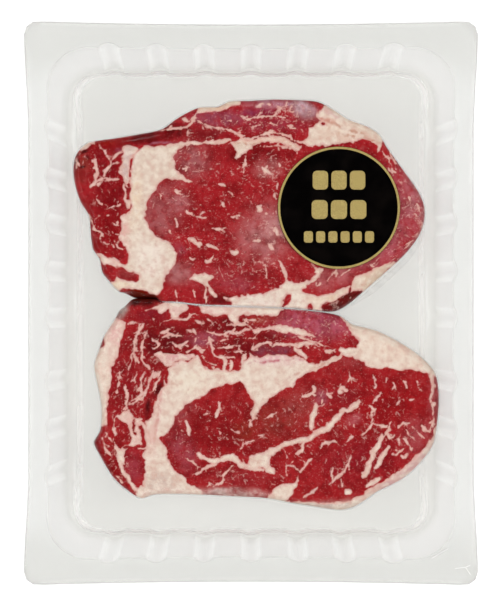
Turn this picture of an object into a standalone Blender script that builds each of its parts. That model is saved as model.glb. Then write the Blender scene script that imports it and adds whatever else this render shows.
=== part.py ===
"""Two raw beef steaks in a clear ribbed tray, under clear skin film with a round label.

Units are metres and +Z is up. The origin is the middle of the tray's underside, the tray's
long side runs along Y, and the pack lies as it does on a shelf.
"""

import math
from collections import namedtuple

import bmesh
import bpy
from mathutils import Matrix, Vector

# Tray, over its flange and up from the face that it rests on
TRAY_LENGTH = 0.2540
TRAY_WIDTH = 0.2043
TRAY_HEIGHT = 0.0360
TRAY_WALL = 0.0007

# Flange: a flat rim with a narrow lip that turns down, and sides that draw in mid-way
FLANGE_CORNER = 0.0060
FLANGE_BOW_SIDE = 0.0019
FLANGE_BOW_END = 0.0016
LIP_WIDTH = 0.0034
LIP_DROP = 0.0010

# Cavity: half sizes at its corners, and the radius of its corners in plan
MOUTH_HALF_X = 0.0916
MOUTH_HALF_Y = 0.1152
MOUTH_CORNER = 0.0195
MOUTH_ROUND = 0.0008
MOUTH_BOW_SIDE = 0.0011
MOUTH_BOW_END = 0.0014
WALL_FOOT_HALF_X = 0.0866
WALL_FOOT_HALF_Y = 0.1090
WALL_FOOT_CORNER = 0.0150
FLOOR_HALF_X = 0.0805
FLOOR_HALF_Y = 0.1064
FLOOR_CORNER = 0.0112
FOOT_RADIUS = 0.0060

# Upright ribs pressed outward in the walls, by the place of each one's middle
SIDE_RIBS = (-0.0781, -0.0570, -0.0354, -0.0067, 0.0145, 0.0361, 0.0567, 0.0783)
END_RIBS = (-0.0641, -0.0427, -0.0214, 0.0, 0.0214, 0.0427, 0.0641)
RIB_WIDTH = 0.0104
SIDE_RIB_DEPTH = 0.0017
END_RIB_DEPTH = 0.0021
RIB_SHAPE = ((-0.5, 0.0), (-0.25, 0.75), (0.0, 1.0), (0.25, 0.75), (0.5, 0.0))
CORNER_STEPS = 7

# Steaks: two slices that lie flat side by side and press together along one line
STEAK_BOTTOM = 0.0010
STEAK_TOP = 0.0250
STEAK_GAP = 0.0004
CROWN = 0.0008
CROWN_HALF_X = 0.080
CROWN_HALF_Y = 0.048
UPPER_MIDDLE = (0.000, 0.047)
LOWER_MIDDLE = (0.005, -0.048)
POINTS_PER_SPAN = 2

# The line where the two steaks touch, from left to right
CONTACT_LINE = (
    (-0.0410, 0.0006), (-0.0330, 0.0002), (-0.0230, -0.0009), (-0.0100, -0.0014),
    (0.0020, -0.0018), (0.0130, -0.0022), (0.0240, -0.0030), (0.0345, -0.0042),
)

# The free edge of each steak, anticlockwise from above, between the ends of that line
UPPER_EDGE = (
    (0.0400, -0.0033), (0.0460, 0.0004), (0.0535, 0.0068), (0.0645, 0.0164), (0.0719, 0.0235),
    (0.0782, 0.0325), (0.0801, 0.0425), (0.0772, 0.0511), (0.0713, 0.0596), (0.0633, 0.0707),
    (0.0586, 0.0779), (0.0520, 0.0818), (0.0450, 0.0844), (0.0385, 0.0887), (0.0310, 0.0926),
    (0.0230, 0.0934), (0.0100, 0.0938), (0.0000, 0.0932), (-0.0098, 0.0928), (-0.0155, 0.0903),
    (-0.0245, 0.0898), (-0.0345, 0.0846), (-0.0410, 0.0801), (-0.0500, 0.0780),
    (-0.0620, 0.0759), (-0.0715, 0.0746), (-0.0765, 0.0729), (-0.0807, 0.0680),
    (-0.0818, 0.0610), (-0.0806, 0.0530), (-0.0780, 0.0458), (-0.0746, 0.0400),
    (-0.0737, 0.0310), (-0.0726, 0.0246), (-0.0696, 0.0202), (-0.0685, 0.0145),
    (-0.0654, 0.0103), (-0.0601, 0.0051), (-0.0550, 0.0053), (-0.0500, 0.0044),
    (-0.0445, 0.0034),
)
LOWER_EDGE = (
    (-0.0470, 0.0004), (-0.0523, 0.0006), (-0.0564, -0.0015), (-0.0602, -0.0034),
    (-0.0624, -0.0073), (-0.0672, -0.0145), (-0.0700, -0.0218), (-0.0721, -0.0287),
    (-0.0707, -0.0373), (-0.0688, -0.0475), (-0.0694, -0.0585), (-0.0723, -0.0640),
    (-0.0696, -0.0702), (-0.0636, -0.0801), (-0.0564, -0.0866), (-0.0503, -0.0899),
    (-0.0445, -0.0882), (-0.0300, -0.0879), (-0.0120, -0.0888), (0.0050, -0.0896),
    (0.0150, -0.0909), (0.0280, -0.0925), (0.0403, -0.0939), (0.0480, -0.0917),
    (0.0567, -0.0858), (0.0672, -0.0806), (0.0754, -0.0739), (0.0820, -0.0653),
    (0.0843, -0.0550), (0.0853, -0.0450), (0.0850, -0.0360), (0.0828, -0.0302),
    (0.0762, -0.0235), (0.0672, -0.0175), (0.0570, -0.0125), (0.0470, -0.0099),
    (0.0415, -0.0062),
)

# How the slices' edges round off: how far in from the outline, and how high
BOTTOM_ROUND = ((0.0045, 0.0), (0.0, 0.0070))
TOP_ROUND = ((0.0, 0.0045), (0.0010, 0.0013), (0.0036, 0.0))
TIGHT_EDGE = 0.2
TIGHT_REACH = 0.012

# Film: one clear skin over the flange, the walls, the floor and the steaks
FILM_GAP = 0.0003
FILM_THICK = 0.0003
FILM_CLEAR = 0.00035

# Label: a round paper disc that lies on the film over the upper steak
LABEL_DIAMETER = 0.0560
LABEL_MIDDLE = (0.0402, 0.0435)
LABEL_THICK = 0.0003
LABEL_SIDES = 40
LABEL_RINGS = (0.5, 1.0)

Ring = namedtuple("Ring", "half_x half_y corner z bow_side bow_end side_rib end_rib")
Station = namedtuple("Station", "side along rib angle")


def clear_scene():
    """Remove what the scene holds, so that the script can run again."""
    for obj in list(bpy.data.objects):
        bpy.data.objects.remove(obj, do_unlink=True)


def new_collection(name):
    """Make a collection and link it to the scene."""
    collection = bpy.data.collections.new(name)
    bpy.context.scene.collection.children.link(collection)
    return collection


def new_material(name, color, roughness, alpha=1.0):
    """Make a Principled material of one colour."""
    material = bpy.data.materials.new(name)
    material.use_nodes = True
    shader = material.node_tree.nodes["Principled BSDF"]
    shader.inputs["Base Color"].default_value = (*color, 1.0)
    shader.inputs["Roughness"].default_value = roughness
    shader.inputs["Metallic"].default_value = 0.0
    shader.inputs["Alpha"].default_value = alpha
    return material


def new_object(name, bm, material, collection, sharp_angle):
    """Turn a bmesh into a named object with its material, shaded smooth."""
    mesh = bpy.data.meshes.new(name)
    bm.to_mesh(mesh)
    bm.free()
    mesh.materials.append(material)
    mesh.shade_smooth()
    mesh.set_sharp_from_angle(angle=math.radians(sharp_angle))
    obj = bpy.data.objects.new(name, mesh)
    collection.objects.link(obj)
    return obj


def loft(rings, close_first):
    """Join rings of points by faces, and close the last ring, and the first if asked."""
    bm = bmesh.new()
    loops = [[bm.verts.new(point) for point in ring] for ring in rings]
    for outer, inner in zip(loops, loops[1:]):
        for i in range(len(outer)):
            j = (i + 1) % len(outer)
            bm.faces.new((outer[i], outer[j], inner[j], inner[i]))
    bm.faces.new(loops[-1])
    if close_first:
        bm.faces.new(reversed(loops[0]))
    bm.normal_update()
    return bm


def smooth_step(low, high, value):
    """Rise from 0 at low to 1 at high with flat ends."""
    t = min(max((value - low) / (high - low), 0.0), 1.0)
    return t * t * (3.0 - 2.0 * t)


def tray_rings():
    """Give the tray's inner surface as rings, from the lip's edge to the floor."""
    half_x = TRAY_WIDTH / 2
    half_y = TRAY_LENGTH / 2
    floor = TRAY_WALL
    bend = math.radians(45)
    part_in = math.sin(bend)
    part_up = 1.0 - math.cos(bend)
    foot_x = WALL_FOOT_HALF_X - FLOOR_HALF_X
    foot_y = WALL_FOOT_HALF_Y - FLOOR_HALF_Y
    flange_bow = (FLANGE_BOW_SIDE, FLANGE_BOW_END)
    mouth_bow = (MOUTH_BOW_SIDE, MOUTH_BOW_END)
    ribs = (SIDE_RIB_DEPTH, END_RIB_DEPTH)
    return (
        Ring(half_x, half_y, FLANGE_CORNER, TRAY_HEIGHT - LIP_DROP, *flange_bow, 0.0, 0.0),
        Ring(half_x - LIP_WIDTH, half_y - LIP_WIDTH, FLANGE_CORNER, TRAY_HEIGHT, *flange_bow,
             0.0, 0.0),
        Ring(MOUTH_HALF_X + MOUTH_ROUND, MOUTH_HALF_Y + MOUTH_ROUND, MOUTH_CORNER + MOUTH_ROUND,
             TRAY_HEIGHT, *mouth_bow, *ribs),
        Ring(MOUTH_HALF_X, MOUTH_HALF_Y, MOUTH_CORNER, TRAY_HEIGHT - MOUTH_ROUND, *mouth_bow,
             *ribs),
        Ring(WALL_FOOT_HALF_X, WALL_FOOT_HALF_Y, WALL_FOOT_CORNER, floor + FOOT_RADIUS, 0.0, 0.0,
             SIDE_RIB_DEPTH * 0.7, END_RIB_DEPTH),
        Ring(FLOOR_HALF_X + foot_x * part_in, FLOOR_HALF_Y + foot_y * part_in,
             (FLOOR_CORNER + WALL_FOOT_CORNER) / 2, floor + FOOT_RADIUS * part_up, 0.0, 0.0,
             SIDE_RIB_DEPTH * 0.2, END_RIB_DEPTH),
        Ring(FLOOR_HALF_X, FLOOR_HALF_Y, FLOOR_CORNER, floor, 0.0, 0.0, 0.0, END_RIB_DEPTH * 0.8),
    )


def tray_stations(rib_shape):
    """List where the points of every ring lie: along the four sides and round the corners."""
    stations = []
    for side in range(4):
        ribs = END_RIBS if side % 2 else SIDE_RIBS
        turn = 1 if side < 2 else -1
        for middle in sorted(turn * rib for rib in ribs):
            for place, height in rib_shape:
                stations.append(Station(side, middle + place * RIB_WIDTH, height, None))
        for step in range(CORNER_STEPS + 1):
            angle = math.radians(90 * step / CORNER_STEPS)
            stations.append(Station(side, 0.0, 0.0, angle))
    return stations


def corner_point(half_u, half_v, corner, pivot, angle):
    """Find where a ray from the pivot meets a rounded corner."""
    ray = Vector((math.cos(angle), math.sin(angle)))
    reach_u = (half_u - pivot.x) / max(ray.x, 1e-9)
    reach_v = (half_v - pivot.y) / max(ray.y, 1e-9)
    hit = pivot + ray * min(reach_u, reach_v)
    centre = Vector((half_u - corner, half_v - corner))
    if hit.x > centre.x and hit.y > centre.y:
        offset = pivot - centre
        along = offset.dot(ray)
        hit = pivot + ray * (math.sqrt(along ** 2 - offset.length_squared + corner ** 2) - along)
    return hit


def ring_point(station, ring):
    """Place one station of one ring in space."""
    on_side = station.side % 2 == 0
    half_u, half_v = (ring.half_x, ring.half_y) if on_side else (ring.half_y, ring.half_x)
    mouth_u, mouth_v = (MOUTH_HALF_X, MOUTH_HALF_Y) if on_side else (MOUTH_HALF_Y, MOUTH_HALF_X)
    if station.angle is None:
        over = max(0.0, abs(station.along) - half_v + ring.corner)
        rib = ring.side_rib if on_side else ring.end_rib
        out = half_u - ring.corner + math.sqrt(ring.corner ** 2 - over ** 2)
        flat = Vector((out + rib * station.rib, station.along))
    else:
        pivot = Vector((mouth_u - MOUTH_CORNER, mouth_v - MOUTH_CORNER))
        flat = corner_point(half_u, half_v, ring.corner, pivot, station.angle)
    x, y = Matrix.Rotation(math.radians(90 * station.side), 2) @ flat
    draw_side = 1.0 - smooth_step(0.60, 0.97, abs(y) / ring.half_y)
    draw_end = 1.0 - min(abs(x) / ring.half_x, 1.0) ** 2
    x -= x * draw_side * ring.bow_side / ring.half_x
    y -= y * draw_end * ring.bow_end / ring.half_y
    return Vector((x, y, ring.z))


def add_solidify(obj, thickness, offset):
    """Give an open surface its wall."""
    solidify = obj.modifiers.new("wall", "SOLIDIFY")
    solidify.thickness = thickness
    solidify.offset = offset
    solidify.use_even_offset = True


def make_tray(material, collection):
    """Clear thermoformed tray: lip, flange, ribbed walls, rounded foot and flat floor."""
    stations = tray_stations(RIB_SHAPE)
    rings = [[ring_point(station, ring) for station in stations] for ring in tray_rings()]
    tray = new_object("tray", loft(rings, close_first=False), material, collection, 30)
    add_solidify(tray, TRAY_WALL, -1.0)


def curve_through(points):
    """Sample a closed smooth curve that passes through all the points."""
    count = len(points)
    samples = []
    for i in range(count):
        before, start, end, after = (Vector(points[(i + k) % count]) for k in (-1, 0, 1, 2))
        for step in range(POINTS_PER_SPAN):
            t = step / POINTS_PER_SPAN
            bend = 2 * before - 5 * start + 4 * end - after
            twist = 3 * start - before - 3 * end + after
            samples.append(start + 0.5 * ((end - before) * t + bend * t ** 2 + twist * t ** 3))
    return samples


def grown(outline, distance):
    """Move each point of an anticlockwise outline outward by a distance."""
    moved = []
    for i, point in enumerate(outline):
        along = (outline[(i + 1) % len(outline)] - outline[i - 1]).normalized()
        moved.append(point + Vector((along.y, -along.x)) * distance)
    return moved


def upper_outline():
    """Outline of the upper steak, anticlockwise from above."""
    contact = [(x, y + STEAK_GAP / 2) for x, y in CONTACT_LINE]
    return curve_through((*contact, *UPPER_EDGE))


def lower_outline():
    """Outline of the lower steak, anticlockwise from above."""
    contact = [(x, y - STEAK_GAP / 2) for x, y in reversed(CONTACT_LINE)]
    return curve_through((*contact, *LOWER_EDGE))


def crown_height(x, y, middle):
    """Height of a steak's slightly crowned top."""
    across = (x - middle[0]) / CROWN_HALF_X
    along = (y - middle[1]) / CROWN_HALF_Y
    return STEAK_TOP - CROWN * (across ** 2 + along ** 2)


def edge_softness(y):
    """Round the edges fully, apart from those that are pressed against the other steak."""
    return min(1.0, TIGHT_EDGE + abs(y) / TIGHT_REACH)


def slice_body(outline, middle, grow, bottom):
    """Loft a thick slice with rounded edges, grown outward and upward by a distance."""
    centre = Vector(middle)
    edge = grown(outline, grow)

    def moved_in(point, distance):
        return point + (centre - point).normalized() * distance * edge_softness(point.y)

    rings = []
    for inset, up in BOTTOM_ROUND:
        level = bottom if up == 0.0 else STEAK_BOTTOM + up
        rings.append([(*moved_in(point, inset), level) for point in edge])
    for inset, down in TOP_ROUND:
        ring = [moved_in(point, inset) for point in edge]
        drops = [down * edge_softness(point.y) for point in edge]
        rings.append([(p.x, p.y, crown_height(p.x, p.y, middle) + grow - drop)
                      for p, drop in zip(ring, drops)])
    bm = loft(rings, close_first=True)
    sides = [face for face in bm.faces if len(face.verts) == 4]
    bmesh.ops.triangulate(bm, faces=sides, quad_method="FIXED")
    top = max(bm.faces, key=lambda face: (len(face.verts), face.calc_center_median().z))
    hub = bmesh.ops.poke(bm, faces=[top])["verts"][0]
    hub.co = (centre.x, centre.y, crown_height(centre.x, centre.y, middle) + grow)
    return bm


def make_steaks(material, collection):
    """The two thick slices of beef."""
    upper = slice_body(upper_outline(), UPPER_MIDDLE, 0.0, STEAK_BOTTOM)
    new_object("steak_upper", upper, material, collection, 50)
    lower = slice_body(lower_outline(), LOWER_MIDDLE, 0.0, STEAK_BOTTOM)
    new_object("steak_lower", lower, material, collection, 50)


def make_cutter(name, bm, material, collection):
    """A shape that only joins or cuts the film."""
    cutter = new_object(name, bm, material, collection, 50)
    cutter.display_type = "WIRE"
    cutter.hide_render = True
    return cutter


def film_shell():
    """Skin that lines the tray from the lip to the floor, bridging the ribs."""
    stations = tray_stations(((0.0, 0.0),))
    rings = [[ring_point(station, ring) for station in stations] for ring in tray_rings()]
    bm = loft(rings, close_first=False)
    for vert in bm.verts:
        vert.co += vert.normal * FILM_GAP * vert.calc_shell_factor()
    return bm


def make_film(material, collection, cutters):
    """Clear skin film: the tray's lining joined to a close cover over each steak."""
    film = new_object("film", film_shell(), material, collection, 40)
    add_solidify(film, FILM_THICK, 1.0)
    slices = (("upper", upper_outline(), UPPER_MIDDLE), ("lower", lower_outline(), LOWER_MIDDLE))
    inner_bottom = TRAY_WALL + FILM_GAP / 2
    outer_bottom = TRAY_WALL + FILM_GAP + FILM_THICK / 2
    outer = FILM_CLEAR + FILM_THICK
    for operation, grow, bottom in (("UNION", outer, outer_bottom),
                                    ("DIFFERENCE", FILM_CLEAR, inner_bottom)):
        for name, outline, middle in slices:
            body = slice_body(outline, middle, grow, bottom)
            cutter = make_cutter(f"{operation.lower()}_{name}", body, material, cutters)
            boolean = film.modifiers.new(cutter.name, "BOOLEAN")
            boolean.operation = operation
            boolean.object = cutter


def make_label(material, collection):
    """Round paper label that follows the upper steak's crown."""
    lift = FILM_CLEAR + FILM_THICK + FILM_GAP
    rings = []
    levels = [(lift, scale) for scale in LABEL_RINGS]
    levels += [(lift + LABEL_THICK, scale) for scale in reversed(LABEL_RINGS)]
    for height, scale in levels:
        ring = []
        for step in range(LABEL_SIDES):
            angle = math.tau * step / LABEL_SIDES
            x = LABEL_MIDDLE[0] + LABEL_DIAMETER / 2 * scale * math.cos(angle)
            y = LABEL_MIDDLE[1] + LABEL_DIAMETER / 2 * scale * math.sin(angle)
            ring.append((x, y, crown_height(x, y, UPPER_MIDDLE) + height))
        rings.append(ring)
    new_object("label", loft(rings, close_first=True), material, collection, 40)


def main():
    clear_scene()
    parts = new_collection("steak_tray_pack")
    cutters = new_collection("film_cutters")
    clear_plastic = new_material("clear_tray_plastic", (0.80, 0.80, 0.77), 0.15, alpha=0.4)
    clear_film = new_material("clear_skin_film", (0.90, 0.90, 0.88), 0.10, alpha=0.2)
    beef = new_material("raw_beef", (0.38, 0.03, 0.04), 0.35)
    black_paper = new_material("black_label_paper", (0.008, 0.007, 0.006), 0.45)
    make_tray(clear_plastic, parts)
    make_steaks(beef, parts)
    make_film(clear_film, parts, cutters)
    make_label(black_paper, parts)


main()
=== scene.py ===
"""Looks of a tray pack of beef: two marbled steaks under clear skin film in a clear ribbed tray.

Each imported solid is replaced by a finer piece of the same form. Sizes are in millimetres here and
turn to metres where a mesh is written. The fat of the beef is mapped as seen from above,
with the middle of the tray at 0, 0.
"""

import math
import random
from collections import namedtuple

import bmesh
import bpy
import numpy as np
from mathutils import Matrix, Vector


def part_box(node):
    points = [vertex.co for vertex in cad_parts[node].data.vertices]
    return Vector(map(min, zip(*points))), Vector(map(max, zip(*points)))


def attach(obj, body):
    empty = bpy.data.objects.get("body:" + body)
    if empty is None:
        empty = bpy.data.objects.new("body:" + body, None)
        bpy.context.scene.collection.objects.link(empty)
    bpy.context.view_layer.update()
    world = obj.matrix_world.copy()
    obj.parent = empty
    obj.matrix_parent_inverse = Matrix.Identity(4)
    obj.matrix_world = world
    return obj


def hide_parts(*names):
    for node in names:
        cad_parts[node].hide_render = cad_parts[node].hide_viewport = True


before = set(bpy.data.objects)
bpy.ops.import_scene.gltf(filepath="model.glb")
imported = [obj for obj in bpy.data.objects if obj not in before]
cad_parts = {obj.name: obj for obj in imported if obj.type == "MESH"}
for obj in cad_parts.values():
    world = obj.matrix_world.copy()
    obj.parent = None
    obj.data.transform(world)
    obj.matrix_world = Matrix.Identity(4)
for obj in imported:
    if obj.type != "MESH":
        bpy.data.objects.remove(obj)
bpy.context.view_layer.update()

MM = 0.001

# Every ramp between two values eases in and out
SOFT = {"interpolation_type": "SMOOTHSTEP"}

# Steaks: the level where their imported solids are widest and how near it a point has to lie, their
# crown, how their edges round, how proud the fat stands and over which depth it rises
WIDEST_LEVEL = 8.0
LEVEL_NEAR = 0.1
STEAK_BOTTOM = 1.0
CROWN = 0.8
CROWN_HALF_X = 80.0
CROWN_HALF_Y = 48.0
EDGE_DROP = 4.5
EDGE_REACH = 3.6
BASE_INSET = 4.5
TIGHT_EDGE = 0.2
TIGHT_REACH = 12.0
FAT_PROUD = 0.22
FAT_RISE = 0.8

# A steak's mesh: the share of its box that the even middle is drawn to, and where its rim begins
EVEN_SHARE = 0.94
RIM_SHARE = 0.8

# Soft hills of the meat's top and side: shortest and longest wave, and height
HILLS = ((14.0, 40.0, 0.22), (4.0, 9.0, 0.05))
SIDE_HILLS = (12.0, 30.0, 0.3)

# Film: how far it stands off the meat, how it draws down at the sides and how thick it is
FILM_OFF = 0.35
FILM_BULGE = 0.55
FILM_FLARE = 2.0
FILM_FOOT = 1.35
FILM_THICK = 0.10

# How milky the film is: round a steak's top, where it hangs slack, and in the fold of the slack.
# The streaks are lumps laid round a circle, which change little along x
RIM_HAZE = 0.10
RIM_HAZE_FROM = 0.985
SLACK_HAZE = 0.02
FOLD_HAZE = 0.40
FOLD_LEVEL = 0.6
FOLD_HALF = 0.08
FILM_STREAKS = ((1.6, 0.7), (4.0, 0.5))
STREAK_RADIUS = 80.0
STREAK_CHANGE = 0.1

# Where the film hangs slack beside each steak: direction, half width in degrees, and by how much.
# The power says how sharply such a stretch ends
BELL_POWER = 4
UPPER_SLACK = (-27.0, 20.0, 2.8)
LOWER_SLACK = (-42.0, 24.0, 1.6)

# The pale skin round the lower steak's right edge: direction, half width in degrees, thickness
LOWER_SKIN = (-31.0, 44.0, 1.7)

# Film that bridges the line where the steaks press together: from x to x, its half width, step and
# cells across, how far it lies under the crown, how milky it is, and how that fades to the right
BRIDGE_REACH = (-40.5, 33.0)
BRIDGE_HALF = 0.9
BRIDGE_STEP = 1.5
BRIDGE_CELLS = 4
BRIDGE_DOWN = 0.75
BRIDGE_SAG = 0.3
BRIDGE_HAZE = 0.24
BRIDGE_LUMPS = ((3.0, 0.22),)
BRIDGE_FADE_FROM = -8.0
BRIDGE_FADE_OVER = 14.0
BRIDGE_FADE = 0.75

# Label, its gold border, and rows of plain gold bars: height of the middle, bar height, how
# many bars and how wide the row is. A bar's corners are a share of its shorter side
LABEL_MIDDLE = (40.2, 43.5)
LABEL_RADIUS = 28.0
LABEL_LIFT = 0.95
LABEL_THICK = 0.30
BORDER_WIDTH = 1.0
BORDER_EDGE = 0.15
PRINT_THICK = 0.05
LABEL_ROWS = ((12.6, 8.6, 3, 24.0), (-0.8, 8.6, 3, 25.0), (-13.3, 5.2, 6, 32.0))
BAR_GAP = 1.5
BAR_CORNER = 0.28
BAR_STEPS = 6
ROUND_STEPS = 160
DISC_RINGS = 6

# Tray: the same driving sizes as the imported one
TRAY_HALF_X = 102.15
TRAY_HALF_Y = 127.0
TRAY_HEIGHT = 36.0
TRAY_WALL = 0.7
SHEET_WALL = 0.5
FLANGE_CORNER = 6.0
FLANGE_BOW = (1.9, 1.6)
LIP_WIDTH = 3.4
LIP_DROP = 1.0
MOUTH_HALF = (91.6, 115.2)
MOUTH_CORNER = 19.5
MOUTH_ROUND = 0.8
MOUTH_BOW = (1.1, 1.4)
WALL_FOOT_HALF = (86.6, 109.0)
WALL_FOOT_CORNER = 15.0
FLOOR_HALF = (80.5, 106.4)
FLOOR_CORNER = 11.2
FOOT_RADIUS = 6.0
SIDE_RIBS = (-78.1, -57.0, -35.4, -6.7, 14.5, 36.1, 56.7, 78.3)
END_RIBS = (-64.1, -42.7, -21.4, 0.0, 21.4, 42.7, 64.1)
RIB_WIDTH = 10.4
RIB_DEPTHS = (1.7, 2.1)
RIB_STEPS = 8
CORNER_STEPS = 18

# How the tray's rings are spaced: steps over the lip, the mouth, the wall and the foot, how far
# the ribs fade on the way down, and the floor's own rings, inset with what is left of the ribs.
# The long sides bow in most at their middle and no more near the corners
LIP_STEPS = 4
MOUTH_STEPS = 4
WALL_STEPS = 7
FOOT_STEPS = 8
SIDE_RIB_FADE = 0.7
END_RIB_FADE = 0.2
FLOOR_RINGS = ((1.5, 0.5), (4.0, 0.1))
SIDE_BOW_ENDS = (0.60, 0.97)

# The tray from ring to ring, over the lip, the flange, the round of the mouth, the wall and the
# foot: how milky it is, and how thick and so how grey. The edges of the ribs are clearer, and
# the flange is greyer towards its two ends
TRAY_HAZE = ((0, 0.38), (5, 0.46), (6, 0.30), (7, 0.11), (9, 0.11), (11, 0.11), (17, 0.12),
             (20, 0.05), (24, 0.0))
RIB_EDGE_HAZE = -0.10
SHEET_GREY = (0.33, 0.88)
SHEET_SPAN = ((7, 1.0), (10, 0.0), (14, 0.0), (17, 1.1), (24, 1.0))
GREY_END_FROM = 98.0
GREY_END_OVER = 14.0
GREY_END_RING = 7
WALL_RINGS = (9, 18)
FLOOR_RING = 25

# Lining: how much of the ribs it follows, how far it stands off the tray and how milky it is
LINING_RIBS = 0.55
LINING_OFF = 0.25
LINING_HAZE = 0.02
LINING_LUMPS = ((11.0, 0.3), (4.0, 0.2))

# The bright line where the lining rounds into the floor, a painted highlight put in as milky haze:
# ring, width in rings and strength, at the long sides and at the ends, and its mean, least and
# greatest share of that strength
FOOT_HIGHLIGHT = ((23.5, 0.8, 0.42), (20.5, 1.6, 0.60))
FOOT_END_FROM = 88.0
FOOT_END_OVER = 18.0
FOOT_MEAN = 0.85
FOOT_LIMITS = (0.4, 1.3)

# Small creases in and beside the flange's lower right corner: their lines, width and height,
# how high they lie on the flange and how milky they are
CREASES = (
    ((91.6, -119.2), (96.5, -118.6), (98.4, -117.8)), ((96.5, -118.8), (98.6, -122.0)),
    ((81.2, -114.6), (88.8, -110.1)),
)
CREASE_SIZE = (0.26, 0.14)
CREASE_LIFT = 0.35
CREASE_HAZE = 0.72

# Fat of the upper steak: outlines of its broad fat
UPPER_FAT = {
    "kernel": (
        (-49, 71.8), (-41.5, 72.1), (-33.2, 73.6), (-26, 73.7), (-19.8, 73.6), (-22.8, 72.6),
        (-28, 71.6), (-33.2, 70.1), (-35, 67), (-35, 63.5), (-33.2, 60), (-30.5, 57.5),
        (-27, 55.2), (-29, 54.5), (-31.4, 56.4), (-35, 56.5), (-39, 56.2), (-42.5, 53.8),
        (-45.3, 49.8), (-47.3, 45.5), (-48.3, 41), (-47.6, 36.5), (-45.2, 32.4), (-41.5, 29.6),
        (-37, 27), (-34.8, 23), (-34.3, 19), (-36.5, 14.7), (-39.2, 12.5), (-39.3, 9), (-41, 5),
        (-45, 3.4), (-51, 3.6), (-55, 4.4), (-61, 4.2), (-64.5, 8.2), (-62.4, 10.5),
        (-61.8, 13.2), (-62.3, 15.5), (-68, 17.2), (-70.6, 22.6), (-66.3, 21.2), (-62, 20.3),
        (-57.5, 17.8), (-56, 20.5), (-57, 25), (-59.8, 29.5), (-59.3, 36), (-59.6, 40.8),
        (-56, 41.3), (-55.4, 46), (-55.3, 56), (-54.8, 62), (-53, 67.5), (-50.5, 70.5)),
    "pale seam beside the kernel": (
        (-58.6, 71.2), (-56, 72.2), (-54.2, 72.2), (-51.5, 70.1), (-52.7, 68.3), (-54.5, 65.6),
        (-55.6, 61.2), (-55.9, 55.2), (-57.1, 54.4), (-59, 58.2), (-60.1, 61.9), (-59, 64.9),
        (-58.3, 67.9)),
    "pale rim at the tail's top": (
        (-79.8, 70.4), (-77, 74), (-72, 76), (-71.6, 73.4), (-74.5, 72), (-77.6, 69.2)),
    "cream patch on the top edge": (
        (-25, 87.5), (-23.5, 90.4), (-19.8, 91), (-15.3, 91), (-12.3, 92.3), (-9.7, 93.6),
        (-5, 93.8), (-5, 90.6), (-9, 89.8), (-14, 88.4), (-20, 87), (-24.5, 86.5)),
    "drop under the seam": (
        (-9.7, 73.1), (-8.6, 70.9), (-7.1, 68.6), (-7.5, 66.4), (-5.6, 65.3), (-4.1, 67.1),
        (-2.6, 68.6), (0, 70.1), (1, 73.9), (-4, 74.8)),
    "cream corner above the label": (
        (25, 74), (27.1, 79.8), (28.6, 81.3), (30.8, 83.2), (30.1, 85.8), (30.8, 88), (34, 91.5),
        (38.5, 89.7), (46, 85), (58.6, 78.9), (60.4, 74.6), (58.5, 70.1), (57.6, 68.3),
        (56.6, 72.4), (53.3, 74.2), (49.9, 75), (47.3, 73.9), (42.8, 73.3), (36.8, 72.4),
        (30.8, 72), (24.9, 72.2), (21.9, 74.2)),
    "cream edge at the lower right": (
        (65.5, 18.2), (57, 16), (50, 13), (46.5, 11.5), (46, 8.5), (44.6, 4.6), (47, 1.5),
        (53.5, 6.2), (60.7, 12.4), (66, 17)),
    "band on the lower edge": (
        (-13, 2.5), (-7.8, 2.9), (0, 3.7), (4.7, 4.8), (9.9, 6.3), (12.9, 8.1), (15.5, 10.4),
        (14.8, 13.4), (13.7, 16.7), (11.8, 19.7), (14.8, 17.1), (16.3, 13.4), (17.4, 10.4),
        (20.4, 9.3), (24.9, 9.3), (27.9, 11.1), (30.1, 13), (29.3, 14.5), (31.6, 15.6),
        (33.1, 14.9), (32.3, 13), (30.1, 10.8), (26.4, 8.1), (23.8, 5.2), (27.1, 3.7),
        (31.6, 3.7), (35.3, 4.8), (39.8, 5.8), (44.7, 7.8), (43.5, 3.7), (39.8, 1.4),
        (34.6, -1.2), (30.1, -3.4), (14, -3.2), (0, -2.8), (-7.8, -2.4), (-9.4, 0.2)),
    "patch under the eye": (
        (-28.4, 11.1), (-25, 13), (-19.8, 13.4), (-17.5, 11.5), (-19.4, 9.3), (-17.9, 6.6),
        (-15.7, 2.5), (-18.3, 3.7), (-20.9, 7.4), (-22.8, 9.3), (-25.8, 10.4)),
}
UPPER_LEAN_IN_FAT = {
    # Clears the fat in the notch, where painted shade lies on the lean
    "painted shade at the notch's foot": (
        (-57, 6.4), (-53, 5.7), (-49, 5.1), (-45.5, 4.1), (-42.6, 3.2), (-42, -2), (-58, -2),
        (-60, 4)),
    # Clears the fat at the right side's foot, where painted shade lies on the lean
    "painted shade at the right side's foot": (
        (32.5, -1.2), (37.2, 0.9), (42.6, 3.6), (46.6, 5.3), (51, 5.4), (47, -1), (40, -5),
        (33, -5)),
    "island at the foot of the kernel": (
        (-62.2, 14.5), (-60.5, 15.9), (-57, 15.7), (-54, 14), (-51, 12.3), (-52, 10.5),
        (-55, 10.2), (-59, 11), (-61.5, 12.5)),
    "tail end": (
        (-70.4, 17), (-64, 16.8), (-62.6, 13.5), (-62.9, 10.4), (-66.4, 9.4), (-70, 13.5)),
    "fleck in the band": ((14.2, -1.6), (16.6, -0.6), (18, 3.2), (16.2, 3.8), (14.4, 0.6)),
    "lobe in the band": ((25.4, -2), (27, -0.5), (28.7, -1.6), (28, -3.6), (26, -3.6)),
    "spot in the cream corner": ((31.8, 81.9), (33, 82.5), (33.7, 81.7), (32.6, 81.1)),
}
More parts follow.
